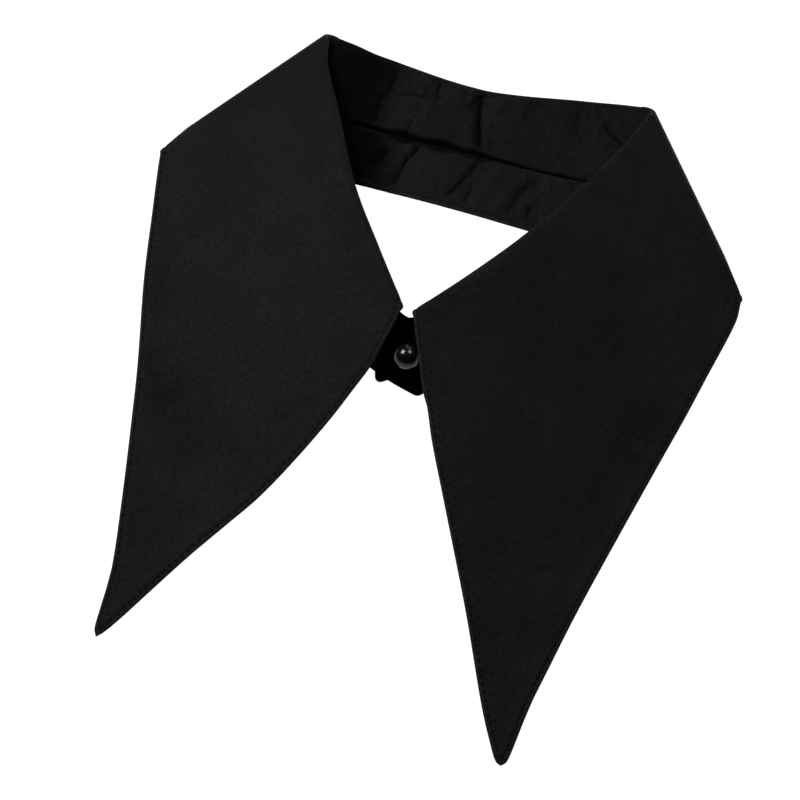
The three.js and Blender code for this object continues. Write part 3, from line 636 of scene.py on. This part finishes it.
# place along the leaf's edge from the crease, and from the roll, to its point
LEAF_OUTER = {
    "left": [(0.08, (-120.1, -45)), (0.3, (-116.6, -61.7)), (0.55, (-109.9, -92)), (0.74, (-99.8, -128.8)),
             (0.83, (-93.6, -154.7)), (0.9, (-87.2, -183)), (0.955, (-82.2, -207.8)), (0.98, (-81.2, -221)),
             (0.994, (-80.6, -231.2)), (1, (-79, -234.4))],
    "right": [(0.12, (120.9, -44.5)), (0.38, (115.2, -70.2)), (0.5, (111.1, -88.4)),
              (0.62, (106.6, -106.6)), (0.77, (98.3, -140.7)), (0.87, (90.2, -175.2)), (0.93, (85.3, -199.6)),
              (0.962, (82.5, -214.2)), (0.985, (80.9, -228.4)), (0.995, (79.8, -235.4)), (1, (78, -237.5))],
}
LEAF_FRONT = {
    "left": [(0.04, (-6, -86.6)), (0.105, (-8.3, -97.5)), (0.161, (-10.3, -107)), (0.221, (-13.9, -116.8)),
             (0.311, (-19.4, -131.2)), (0.434, (-28.1, -150.6)), (0.544, (-36.8, -167.5)),
             (0.642, (-46.1, -181.8)), (0.741, (-55.5, -196.3)), (0.842, (-64.4, -211.4)),
             (0.947, (-73.4, -227)), (0.987, (-77, -232.4)), (1, (-79, -234.4))],
    "right": [(0.037, (1.4, -88)), (0.107, (6.4, -99.2)), (0.145, (9, -105.3)), (0.19, (12.2, -112.3)),
              (0.215, (14.7, -116.2)), (0.293, (20.2, -128.5)), (0.434, (31.5, -150.3)),
              (0.674, (50.7, -187.6)), (0.871, (65.5, -218.7)), (0.959, (72.8, -232)),
              (0.99, (75.9, -236.6)), (1, (78, -237.5))],
}
# creases in the rise where it shows inside the back, and the soft dents in the two leaves
RISE_CREASES = [
    ((-39.3, 26), (-39.6, 20.8), (-39.8, 13.5), 1.1, 1.4),
    ((-42.3, 13.5), (-41.7, 6.3), (-41.2, -1), 1.1, 1.2),
    ((-20.4, 25.5), (-20.2, 21), (-19.8, 15), 1, 0.8),
    ((-2.9, 26.5), (-0.5, 13), (3.8, -1.6), 1.7, 2.2),
    ((-3.8, 23), (-4.6, 19), (-5.6, 14.5), 1.3, 0.5),
    ((8.5, 24), (8, 20.5), (6.8, 16), 1.4, 0.35),
    ((17, 24.5), (17.2, 21.5), (17.2, 18), 1.4, 0.35),
    ((38.2, 30), (38.8, 20), (43.5, 13), 2, 0.28),
    ((49, 25.5), (53.5, 21.5), (60.5, 17.9), 1.1, 0.8),
    ((-27.6, 5), (-27.2, 2), (-26.4, -1.5), 1.3, 0.5),
    ((6.7, 6.5), (7, 3.5), (7.3, 0), 1.3, 0.5),
    ((-21.5, 16.8), (-30.8, 15.9), (-39, 14.5), 1.3, 0.4),
]
RISE_PAINTED_SHADE = 0.07          # painted shade drawn on the rise everywhere at the back
DENT_PAINTED_SHADE = 0.28          # and in the leaves' dents, for each millimetre of their depth
LEAF_DENTS = [
    ((-38, -46), (-34, -60), (-27, -76), 2.5, 0.25),
    ((-48, -36), (-43, -52), (-36, -68), 3, 0.2),
    ((-100, -118), (-93, -132), (-84, -143), 4, 0.5),
    ((-93, -136), (-80, -152), (-66, -166), 5, 0.4),
    ((-89, -178), (-82, -190), (-75, -200), 4, 0.3),
    ((-112, -86), (-107, -90), (-100, -92), 2.5, 0.35),
    ((-110, -98), (-104, -103), (-97, -106), 3, 0.4),
    ((95, -84), (91, -98), (88, -112), 3.5, 0.3),
    ((92, -104), (88, -118), (84, -132), 3.5, 0.35),
    ((70, -60), (68, -71), (66, -82), 4, 0.25),
]


def crease_line(side, down, angle):
    """The fall where it goes round a crease. Down runs from 0 at the roll to 1 at the free edge."""
    reach, start = crease_way(side)[2], (CREASE_FALL_RADIUS - CREASE_BAND_RADIUS) / 2
    below = start + down * (reach - start - RIM_SKEW * np.cos(angle))
    narrower = ease((below - CREASE_HEM_REACH) / (reach - CREASE_HEM_REACH))
    radius = CREASE_FALL_RADIUS + (CREASE_END_RADIUS - CREASE_FALL_RADIUS) * narrower
    return round_crease(side, below, radius, radius, angle)


def on_leaf(side, at, down):
    """A leaf, from its crease at 0 to its front edge at 1, and from the roll down to the outer edge."""
    at, down = np.broadcast_arrays(np.asarray(at, float), np.asarray(down, float))
    line, end = across_side(side, at), across_side(side, np.array(1.0))
    top, front_top = (x["roll"] + (x["out"] + x["up"]) * x["radius"] for x in (line, end))
    folded = crease_line(side, down, np.pi)
    corner, tip = crease_line(side, 1.0, np.pi), np.array(LEAF_OUTER[side][-1][1], float)
    outer = through([(0, corner[:2])] + LEAF_OUTER[side], at)
    front = through([(0, front_top[:2])] + LEAF_FRONT[side], down)
    a, d = at[..., None], down[..., None]
    first, last = crease_line(side, 0.0, np.pi)[:2], front_top[:2]
    plan = (folded[..., :2] * (1 - a) + front * a + top[..., :2] * (1 - d) + outer * d
            - (first * (1 - a) + last * a) * (1 - d) - (corner[:2] * (1 - a) + tip * a) * d)

    def away(p):
        return size(p[..., :2] - line["roll"][..., :2])

    below = top - line["up"] * 2 * line["radius"]
    reach = away(line["hem"])
    lift = from_crease(CREASE_FALL_RADIUS - CREASE_BAND_RADIUS, ROLL[side], 4, at)[..., 0]
    rest = TABLE_SHEET + 2 * CREASE_END_RADIUS * (1 - ease(at / OUTER_DROP_END))
    drop = np.minimum(LEAF_DROP, np.maximum(crease_way(side)[2] - CREASE_HEM_REACH, away(outer) - reach))

    def height(far):
        under = through([
            (0 * reach, below[..., 2:]), (np.maximum(away(line["seam"]), 1), line["seam"][..., 2:]),
            (reach, line["hem"][..., 2:])], np.minimum(far, reach))[..., 0]
        over = under + lift + (top[..., 2] - below[..., 2] - lift) * (1 - ease(far / ROLL_SOFTNESS))
        return over + (rest - over) * ease((far - reach) / drop)

    far, edge = away(plan), away(top)
    settled = height(far) + (top[..., 2] - height(edge)) * (1 - ease((far - edge) / SETTLE_REACH))
    share = np.clip((far - edge) / (away(outer) - edge), 0, 1)
    sagging = rest + (top[..., 2] - rest) * (1 - share) ** LEAF_SAG
    apart = settled - sagging
    over = (settled + sagging + np.sqrt(apart ** 2 + (LEAF_EASE * share * (1 - share)) ** 2)) / 2
    free = ease(at / LEAF_FREE)
    return np.concatenate([plan, (settled + (over - settled) * free)[..., None]], axis=-1)


def on_back_fall(at, down):
    """The back half of the fall, which lies flat on the table under the rest."""
    line = across_back(at)
    corners = [(place, crease_line(side, 1, 0)[:2]) for place, side in ((0, "left"), (1, "right"))]
    rows = [corners[0], *[(row[0], row[5]) for row in BACK], corners[1]]
    top = line["roll"] + (line["out"] + line["up"]) * line["radius"]
    edge = np.concatenate([through(rows, at), top[..., 2:] * 0 + TABLE_SHEET], axis=-1)
    return top * (1 - down[..., None]) + edge * down[..., None]


def rows_down(edge, even, rate):
    """Places from 1 at an edge to 0: at the listed distances from it, then evenly. 1 is as long as rate."""
    near = 1 - edge / np.asarray(rate, float)[..., None]
    return np.concatenate([near, near[..., -1:] * np.linspace(1, 0, even + 1)[1:]], axis=-1)


def leaf_net(side):
    """The places of the leaf's columns and rows, which follow its front and outer edges."""
    edge, small = FALL_EDGE[:, 0], 0.01

    def rates(at, down):
        next_at, next_down = np.minimum(at + small, 1), np.minimum(down + small, 1)
        by_at = (on_leaf(side, next_at, down) - on_leaf(side, next_at - small, down)) / small
        by_down = (on_leaf(side, at, next_down) - on_leaf(side, at, next_down - small)) / small
        across_at, across_down = size(by_at[..., :2]), size(by_down[..., :2])
        turned = np.abs(by_at[..., 0] * by_down[..., 1] - by_at[..., 1] * by_down[..., 0])
        slant = np.maximum(turned / (across_at * across_down), LEAST_SLANT)
        return across_at * slant, across_down * slant

    down = rows_down(edge, LEAF_ROWS, rates(np.array(1.0), np.array(1.0))[1])
    at = rows_down(edge, FALL_COLUMNS["side"], rates(1 + 0 * down, down)[0]).T
    return at, rows_down(edge, LEAF_ROWS, rates(at[:, 0], 1 + 0 * at[:, 0])[1])


nets = {side: leaf_net(side) for side in ("left", "right")}
back_at = np.linspace(0, 1, FALL_COLUMNS["back"])
edge_way = unit(np.gradient(on_back_fall(back_at, 1 + 0 * back_at), axis=0))
back_way = on_back_fall(back_at, 1 + 0 * back_at) - on_back_fall(back_at, 0 * back_at)
back_down = rows_down(FALL_EDGE[:, 0], LEAF_ROWS, size(np.cross(back_way, edge_way)))
turn = np.linspace(np.pi, 0, FALL_COLUMNS["crease"])
leaf_parts, line_parts = [], []
for side, place in (("left", 0), ("right", -1)):
    at, down = nets[side]
    part = (turn / np.pi)[:, None]
    crease_down = down[-1] * part + back_down[place] * (1 - part)
    leaf_parts.append((on_leaf(side, at, down), crease_line(side, crease_down, turn[:, None])))
    line_parts.append((across_side(side, at[:, -1]), across_crease(side, turn)))
(left_leaf, left_turn), (right_leaf, right_turn) = leaf_parts
leaf_middle = np.concatenate([left_leaf, left_turn[1:], on_back_fall(back_at[1:-1, None], back_down[1:-1]),
                              right_turn[::-1], right_leaf[::-1][1:]])
fall_lines = side_by_side([
    line_parts[0][0],
    part_of(line_parts[0][1], np.s_[1:]),
    across_back(back_at[1:-1]),
    part_of(line_parts[1][1], np.s_[::-1]),
    part_of(line_parts[1][0], np.s_[-2::-1]),
])
side_count, crease_count = len(left_leaf), len(left_turn) - 1


def round_roll(angle):
    outward, upward = fall_lines["out"] * (1 - np.sin(angle)), fall_lines["up"] * np.cos(angle)
    return fall_lines["roll"] + fall_lines["radius"] * (outward + upward)


# over the roll to its outermost line, and on from there to the seam
roll_middle = round_roll(np.linspace(0, np.pi / 2, ROLL_ROWS)[1:-1, None])
quarter = fall_lines["radius"] * np.pi / 2
rise_length = size(fall_lines["seam"] - fall_lines["top"])
to_full = np.minimum(1, rise_length / SHORT_RISE)
near_seam = SEAM_EDGE[::-1, 0]
near_roll = np.array([0, 0.45, 0.9, 1.3, 1.7, 2.1, 2.5, 2.81, RISE_STITCHES, 3.51, 3.9, 4.6, 6])
full = np.minimum(1, (quarter[..., 0] + rise_length - near_seam[0] * to_full) / SHORT_REST)
rise_down = []
for f, g, length in zip(full[:, 0], to_full[:, 0], (quarter[..., 0] + rise_length)[:, 0] - RIM_GAP):
    even = np.linspace(near_roll[-1] * f, length - near_seam[0] * g, RISE_ROWS)[1:-1]
    rise_down.append(np.concatenate([near_roll * f, even, length - near_seam * g]))
rise_down = np.array(rise_down)
over_roll = round_roll(np.pi / 2 + np.minimum(rise_down[..., None] / fall_lines["radius"], np.pi / 2))
share = np.maximum(0, (rise_down[..., None] - quarter) / rise_length[..., None])
leave, arrive = (fall_lines[name] * rise_length[..., None] for name in ("out", "way"))
rise_middle = bend(fall_lines["top"], fall_lines["seam"], leave, arrive, share)
rise_middle = over_roll - fall_lines["top"] + rise_middle
rise_middle = np.where(rise_down[..., None] < quarter, over_roll, rise_middle)
fall_middle = np.concatenate([leaf_middle, roll_middle, rise_middle], axis=1)
leaf_count, roll_count = leaf_middle.shape[1], roll_middle.shape[1]
rise = slice(leaf_count + roll_count, None)
back = slice(side_count + crease_count, len(fall_middle) - side_count - crease_count)
leaves = {"left": slice(0, side_count), "right": slice(-side_count, None)}
creases = {"left": slice(side_count, side_count + crease_count),
           "right": slice(-side_count - crease_count, -side_count)}

# how far each point is from the free edges and the seam, and so how thick the cloth is there
from_front, from_outer = (np.full(fall_middle.shape[:2], float(FAR_IN)) for _ in range(2))
from_front[leaves["left"]] = np.append(FALL_EDGE[:, 0], np.full(side_count - len(FALL_EDGE), FAR_IN))[:, None]
from_front[leaves["right"]] = from_front[leaves["left"]][::-1]
from_outer[:, :len(FALL_EDGE)] = FALL_EDGE[:, 0]
from_edge = np.minimum(from_front, from_outer)
fall_half = np.interp(from_edge, *FALL_EDGE.T)
to_seam = (quarter[..., 0] + rise_length - rise_down) / to_full
thinned = np.interp(to_seam - RIM_GAP, *SEAM_EDGE.T) * FALL_CLOTH / BAND_CLOTH
fall_half[:, rise] = np.minimum(fall_half[:, rise], thinned)
groove = ROLL_GROOVE[0] * np.exp(-((rise_down - RISE_STITCHES * full) / ROLL_GROOVE[1]) ** 2)
fall_half[:, rise] -= np.minimum(groove, fall_half[:, rise])

# wrinkles: sharp ones in the rise at the back, soft ones in the leaves; painted shade lies in them, and
# over the rise at the back
deep, painted_shade = np.zeros(fall_half.shape), np.zeros(fall_half.shape)
inside, from_roll, from_seam = rise_middle[back], rise_down[back], to_seam[back]
dents, fold_shade = pressed(inside, RISE_CREASES)
shaded = RISE_PAINTED_SHADE + hollow_shade(inside, *RISE_HOLLOW_SHADE)
shaded = np.maximum(shaded, np.maximum(fold_shade, seam_shade(from_seam, inside)))
painted_shade[back, rise] = shaded * ease(from_roll / RISE_FOLDS[0])
deep[back, rise] = dents * ease(from_roll / RISE_FOLDS[1]) + pulled_in(from_seam)
for leaf in leaves.values():
    fading = ease((from_edge[leaf, :leaf_count] - DENT_FADE[0]) / DENT_FADE[1])
    deep[leaf, :leaf_count] = pressed(leaf_middle[leaf], LEAF_DENTS)[0] * fading
    painted_shade[leaf, :leaf_count] = DENT_PAINTED_SHADE * np.clip(deep[leaf, :leaf_count], 0, None)
fall_middle = fall_middle + surface_normals(fall_middle) * deep[..., None]
fall_middle[..., 2] = np.maximum(fall_middle[..., 2], fall_half)      # what lies on the table stays on it

# the flat cut: the leaves opened out again about the creases
flat = fall_middle[..., :2].copy()
for side, angles in (("left", turn[1:]), ("right", turn[::-1][:-1])):
    leaf, turned, pivot = leaves[side], creases[side], np.array(CREASE_CORNER[side])
    along, outward, _ = crease_way(side)
    off = flat[leaf] - pivot
    flat[leaf] = flat[leaf] + outward[:2] * (CREASE_FALL_RADIUS * np.pi - 2 * (off @ outward[:2])[..., None])
    off = (flat[turned] - pivot) @ along[:2]
    opened = outward[:2] * (CREASE_FALL_RADIUS * angles)[:, None, None]
    flat[turned] = pivot + along[:2] * off[..., None] + opened
beyond_roll = np.cumsum(size(np.diff(fall_middle[:, leaf_count - 1:], axis=1)), axis=1)
roll_way = unit(flat[:, leaf_count - 1] - flat[:, leaf_count - CUT_RULER])
flat[:, leaf_count:] = flat[:, leaf_count - 1, None] + roll_way[:, None] * beyond_roll[..., None]
fall_cloth = np.concatenate([flat, from_edge[..., None]], axis=-1)

# its stitch rows: down one leaf's front, all along the outer edge and up the other front, and under the roll
stitched = list(FALL_EDGE[:, 0]).index(EDGE_STITCHES)
last, front = len(fall_middle) - 1 - stitched, list(range(stitched, leaf_count))
edge_row = ([stitched] * len(front) + list(range(stitched + 1, last)) + [last] * len(front),
            front[::-1] + [stitched] * (last - stitched - 1) + front)
rise_row = (slice(ROW_SHORT, len(fall_middle) - ROW_SHORT),
            leaf_count + roll_count + list(near_roll).index(RISE_STITCHES))
collar_fall = sewn_sheet("collar_fall_cloth", fall_middle, fall_half, fall_cloth,
                         [fall_middle[edge_row], fall_middle[rise_row]], painted_shade)
fall_poplin = black_poplin("black_poplin_fall", "#030303", "#141414", 27)
collar_fall.data.materials.append(fall_poplin)
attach(collar_fall, "root")
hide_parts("collar_fall")

# Topstitching: one row of black spun polyester thread along every free edge of the fall, one under
# the roll, and one round the band. The lockstitch shows alike on both faces.
THREAD_THICKNESS = 0.3
STITCH_GAP = 0.5           # the thread dips through the needle holes here
THREAD_SIDES = 6
# along one stitch: the place, the height out of the cloth and the width, both where the thread is 1 thick
STITCH_SHAPE = np.array([(0, -0.5, 0.6), (0.16, 0.12, 1), (0.5, 0.3, 1), (0.84, 0.12, 1), (1, -0.5, 0.6)])
TWIST = 0.4                # the thread's two plies go round each other in this length


def ring_faces(rings, sides):
    """The faces between each ring of points and the next."""
    beside = [(s, (s + 1) % sides) for s in range(sides)]
    return [(k + s, k + n, k + sides + n, k + sides + s)
            for k in range(0, (rings - 1) * sides, sides) for s, n in beside]


def threads(name, starts, ends, normals, thickness):
    """Short stitches from start to end, whose middles stand out of the cloth and whose ends go into it."""
    sides, (share, stand, width) = THREAD_SIDES, STITCH_SHAPE.T
    stand, width = stand * thickness, width * thickness / 2
    way, normals = unit(ends - starts), unit(normals)
    beside = unit(np.cross(way, normals))
    middle = starts[:, None] * (1 - share[:, None]) + ends[:, None] * share[:, None]
    middle = middle + normals[:, None] * stand[:, None]
    around = np.linspace(0, 2 * np.pi, sides, endpoint=False)
    ring = normals[:, None, None] * np.sin(around)[:, None] + beside[:, None, None] * np.cos(around)[:, None]
    points = (middle[:, :, None] + ring * width[:, None, None]).reshape(-1, 3)
    first = (np.arange(len(starts)) * len(share) * sides)[:, None]
    quads = [np.array(face) + first for face in ring_faces(len(share), sides)]
    ends_of = [np.array([0, 3, 2, 1]), np.array([0, 5, 4, 3])]      # two faces close each six-sided end
    last = (len(share) - 1) * sides
    caps = [e + first for e in ends_of] + [e[::-1] + last + first for e in ends_of]
    return new_piece(name, points, np.concatenate(quads + caps).tolist())


def stitch_ends(points, normals, halves):
    """Where each stitch of a row starts and ends on both faces of the cloth, and which way is out."""
    along = np.append(0, np.cumsum(size(np.diff(points, axis=0))))
    number = np.arange(int(along[-1] / STITCH_PITCH))
    found = []
    for offset in (STITCH_GAP / 2, STITCH_PITCH - STITCH_GAP / 2, STITCH_PITCH / 2):
        at = number * STITCH_PITCH + offset
        found.append([read_along(at, along, values) for values in (points, normals, halves[:, None])])
    sets = []
    for face in (1, -1):
        ends = [p + face * unit(n) * h for p, n, h in found[:2]]
        sets.append((ends[0], ends[1], face * found[2][1]))
    return [np.concatenate(parts) for parts in zip(*sets)]


fall_normals, band_normals = surface_normals(fall_middle), surface_normals(band_middle)
rows = [stitch_ends(fall_middle[row], fall_normals[row], fall_half[row]) for row in (edge_row, rise_row)]
fall_thread = threads("fall_topstitching", *[np.concatenate(parts) for parts in zip(*rows)], THREAD_THICKNESS)
nearest = nearest_to(band_middle.reshape(-1, 3), band_row)
band_ends = stitch_ends(band_row, band_normals.reshape(-1, 3)[nearest], band_half.ravel()[nearest])
band_thread = threads("band_topstitching", *band_ends, THREAD_THICKNESS)

# spun thread: as black as the cloth and a little smoother, and finely striped by its twist, the stripes
# drawn as painted light and shade on its plies
spun_thread, tree = blank_material("black_spun_thread")
where = add(tree, "ShaderNodeTexCoord")
twist = add(tree, "ShaderNodeTexWave", {"Scale": 1000 / TWIST / 6.28, "Distortion": 2.0, "Detail": 1.0},
            {"Vector": where.outputs["Object"]})
# painted light and shade: the plies are drawn paler and darker in turn along the twist
lit = add(tree, "ShaderNodeMix", {"data_type": "RGBA", 6: colour("#050505"), 7: colour("#0e0e0e")},
          {"Factor": twist.outputs["Fac"]})
bump = add(tree, "ShaderNodeBump", {"Strength": 0.6, "Distance": 0.00005}, {"Height": twist.outputs["Fac"]})
shader = add(tree, "ShaderNodeBsdfPrincipled", {"Roughness": 0.6, "IOR": 1.5, "Specular IOR Level": 0.05},
             {"Base Color": lit.outputs[2], "Normal": bump})
add(tree, "ShaderNodeOutputMaterial", links={"Surface": shader})
for piece, slot in ((fall_thread, "fall_cotton"), (band_thread, "band_cotton")):
    piece.data.materials.append(spun_thread)
    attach(piece, "root")

# Buttonhole: a straight slit worked with close satin stitches along the band's upper, right end.
# The real button comes up through it from the end beneath, so only its two ends show. Here the
# cloth isn't slit.
BUTTON_STATION, BUTTON_AT = 1.075, 0.67     # place along the right side, and from the seam to the lower edge
HOLE_LENGTH, HOLE_WIDTH, SATIN_PITCH, SATIN_THREAD = 12.5, 2.2, 0.36, 0.34
SLIT_HALF = 0.12            # the stitches start this far from the slit's middle line
SATIN_LIFT = 0.02           # and lie this far above the cloth
SMALL_STEP = (0.02, 0.1)    # along the side and down the band, to find which way the cloth faces


def on_upper_end(at, down):
    return on_band(across_side("right", np.asarray(at, float)), np.asarray(down, float))


seat = on_upper_end(BUTTON_STATION, BUTTON_AT)
slit_way = unit(on_upper_end(BUTTON_STATION + SMALL_STEP[0], BUTTON_AT) - seat)
facing = unit(np.cross(on_upper_end(BUTTON_STATION, BUTTON_AT + SMALL_STEP[1]) - seat, slit_way))
facing = facing * np.sign(facing[2])
ruler = np.linspace(BUTTON_STATION - 0.15, BUTTON_STATION + 0.15, 200)
line = on_upper_end(ruler, np.full(len(ruler), BUTTON_AT))
along = np.cumsum(np.append(0, size(np.diff(line, axis=0))))
along -= np.interp(BUTTON_STATION, ruler, along)
bars = np.arange(-HOLE_LENGTH / 2, HOLE_LENGTH / 2, SATIN_PITCH)
centre = read_along(bars, along, line)
bar_way = unit(np.cross(facing, slit_way))
surface = centre + facing * (BAND_CLOTH / 2 + SATIN_LIFT)
starts = np.concatenate([surface + bar_way * SLIT_HALF, surface - bar_way * SLIT_HALF])
ends = np.concatenate([surface + bar_way * HOLE_WIDTH / 2, surface - bar_way * HOLE_WIDTH / 2])
buttonhole = threads("buttonhole_stitching", starts, ends, facing + 0 * starts, SATIN_THREAD)
buttonhole.data.materials.append(spun_thread)
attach(buttonhole, "root")

# Button: a ball of polished black plastic with a flat back and a moulded shank. The real one is
# sewn to the lower end of the band by the shank. Here it stands just clear of the upper end.
BUTTON_DIAMETER, BUTTON_HEIGHT = 10.6, 7.6
SHANK_DIAMETER, SHANK_HEIGHT, SEAT_GAP = 3.2, 1.4, 0.3
SHANK_FOOT = 0.2            # the shank's foot is bevelled by this
SHANK_FLARE = 0.25          # and its neck flares out to the back by this
RIM_FLAT, RIM_ROUND = (0.5, 0), (0.15, 0.06)    # the back turns into the ball here: in from its rim, and up
RIM_ANGLE = 0.06            # the ball's own curve starts this angle above it
BUTTON_RINGS, BUTTON_SIDES = 40, 72
radius, shank = BUTTON_DIAMETER / 2, SHANK_DIAMETER / 2
centre_height = SHANK_HEIGHT + BUTTON_HEIGHT - radius
lowest = np.arcsin((SHANK_HEIGHT - centre_height) / radius)
profile = [(shank - SHANK_FOOT, 0), (shank, SHANK_FOOT), (shank, SHANK_HEIGHT - SHANK_FLARE),
           (shank + SHANK_FLARE, SHANK_HEIGHT)]
profile += [(radius * np.cos(lowest) - inward, SHANK_HEIGHT + up) for inward, up in (RIM_FLAT, RIM_ROUND)]
profile += [(radius * np.cos(a), centre_height + radius * np.sin(a))
            for a in np.linspace(lowest + RIM_ANGLE, np.pi / 2, BUTTON_RINGS)[:-1]]
around = np.linspace(0, 2 * np.pi, BUTTON_SIDES, endpoint=False)
points = [(r * np.cos(a), r * np.sin(a), z) for r, z in profile for a in around]
points = [(0, 0, 0), *points, (0, 0, centre_height + radius)]
beside = [(s, (s + 1) % BUTTON_SIDES) for s in range(BUTTON_SIDES)]
top = 1 + (len(profile) - 1) * BUTTON_SIDES
faces = [(0, 1 + n, 1 + s) for s, n in beside]
faces += [tuple(1 + corner for corner in face) for face in ring_faces(len(profile), BUTTON_SIDES)]
faces += [(top + s, top + n, len(points) - 1) for s, n in beside]
turned = Vector((0, 0, 1)).rotation_difference(Vector(facing))
foot = seat + facing * (BAND_CLOTH / 2 + SEAT_GAP)
button = new_piece("front_button_ball", [turned @ Vector(p) + Vector(foot) for p in points], faces)

# moulded and tumbled acrylic: a clear black gloss, with a trace of haze and fine handling marks 1 mm apart
polished_plastic, tree = blank_material("polished_black_acrylic")
where = add(tree, "ShaderNodeTexCoord")
haze = add(tree, "ShaderNodeTexNoise", {"Scale": 900.0, "Detail": 3.0, "Roughness": 0.6},
           {"Vector": where.outputs["Object"]})
rough = add(tree, "ShaderNodeMapRange", {"From Min": 0.35, "From Max": 0.75, "To Min": 0.03, "To Max": 0.11},
            {"Value": haze})
bump = add(tree, "ShaderNodeBump", {"Strength": 0.08, "Distance": 0.00002}, {"Height": haze})
shader = add(tree, "ShaderNodeBsdfPrincipled", {
    "Base Color": colour("#040404"), "IOR": 1.49, "Specular IOR Level": 0.22,
    "Coat Weight": 0.1, "Coat Roughness": 0.35,
}, {"Roughness": rough, "Normal": bump})
add(tree, "ShaderNodeOutputMaterial", links={"Surface": shader})
button.data.materials.append(polished_plastic)
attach(button, "root")
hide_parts("front_button")

# Table: a sheet of plain white glass that the collar lies on, lit from below, so that it is white in
# the picture and takes no shadow. It lies just under the stitches, and reaches past every view.
COLLAR_MIDDLE = (0, -0.1, 0)        # in metres, as are the lights' and the camera's places
bpy.ops.mesh.primitive_plane_add(size=16, location=(*COLLAR_MIDDLE[:2], -0.0003))
table = bpy.context.object
table.name = "table"
white_glass, tree = blank_material("white_glass")
shader = add(tree, "ShaderNodeBsdfPrincipled", {
    "Base Color": colour("#6a6a6a"), "Roughness": 0.9, "Specular IOR Level": 0.0,
    "Emission Color": colour("#ffffff"), "Emission Strength": 1.0,
})
add(tree, "ShaderNodeOutputMaterial", links={"Surface": shader})
table.data.materials.append(white_glass)

# Light: two soft boxes above, the stronger on the left, a dim window low behind, and a dim pale
# room. Their places were found from the highlights on the ball.
world = bpy.data.worlds.new("studio")
bpy.context.scene.world = world
world.use_nodes = True
world.node_tree.nodes["Background"].inputs["Color"].default_value = colour("#eef0f2")
world.node_tree.nodes["Background"].inputs["Strength"].default_value = 0.03


def soft_box(name, way, distance, width, power):
    """A square light that hangs in a direction from the middle of the collar and faces it."""
    data = bpy.data.lights.new(name, "AREA")
    data.shape, data.size, data.energy = "SQUARE", width, power
    lamp = bpy.data.objects.new(name, data)
    centre = Vector(COLLAR_MIDDLE)
    lamp.location = centre + Vector(way).normalized() * distance
    lamp.rotation_mode = "QUATERNION"
    lamp.rotation_quaternion = (centre - lamp.location).to_track_quat("-Z", "Y")
    bpy.context.scene.collection.objects.link(lamp)


soft_box("left_soft_box", (-0.598, 0.185, 0.779), 0.9, 0.40, 11.2)
soft_box("back_soft_box", (0.273, 0.4285, 0.862), 1.1, 0.46, 6.1)
soft_box("window", (-0.04, 0.909, 0.41), 0.9, 0.6, 1.2)

# Camera: above the front of the collar, a little to its right, as the photograph was taken, and
# two thirds of a metre up.
camera = bpy.data.objects.new("camera", bpy.data.cameras.new("camera"))
camera.data.sensor_width, camera.data.lens = 36, 80.77
camera.data.clip_start = 0.01
camera.location = (0.07082, -0.34175, 0.65778)
camera.rotation_mode = "QUATERNION"
camera.rotation_quaternion = (Vector((0.00283, -0.1122, 0)) - camera.location).to_track_quat("-Z", "Y")
bpy.context.scene.collection.objects.link(camera)
bpy.context.scene.camera = camera
bpy.context.scene.view_settings.view_transform = "Standard"
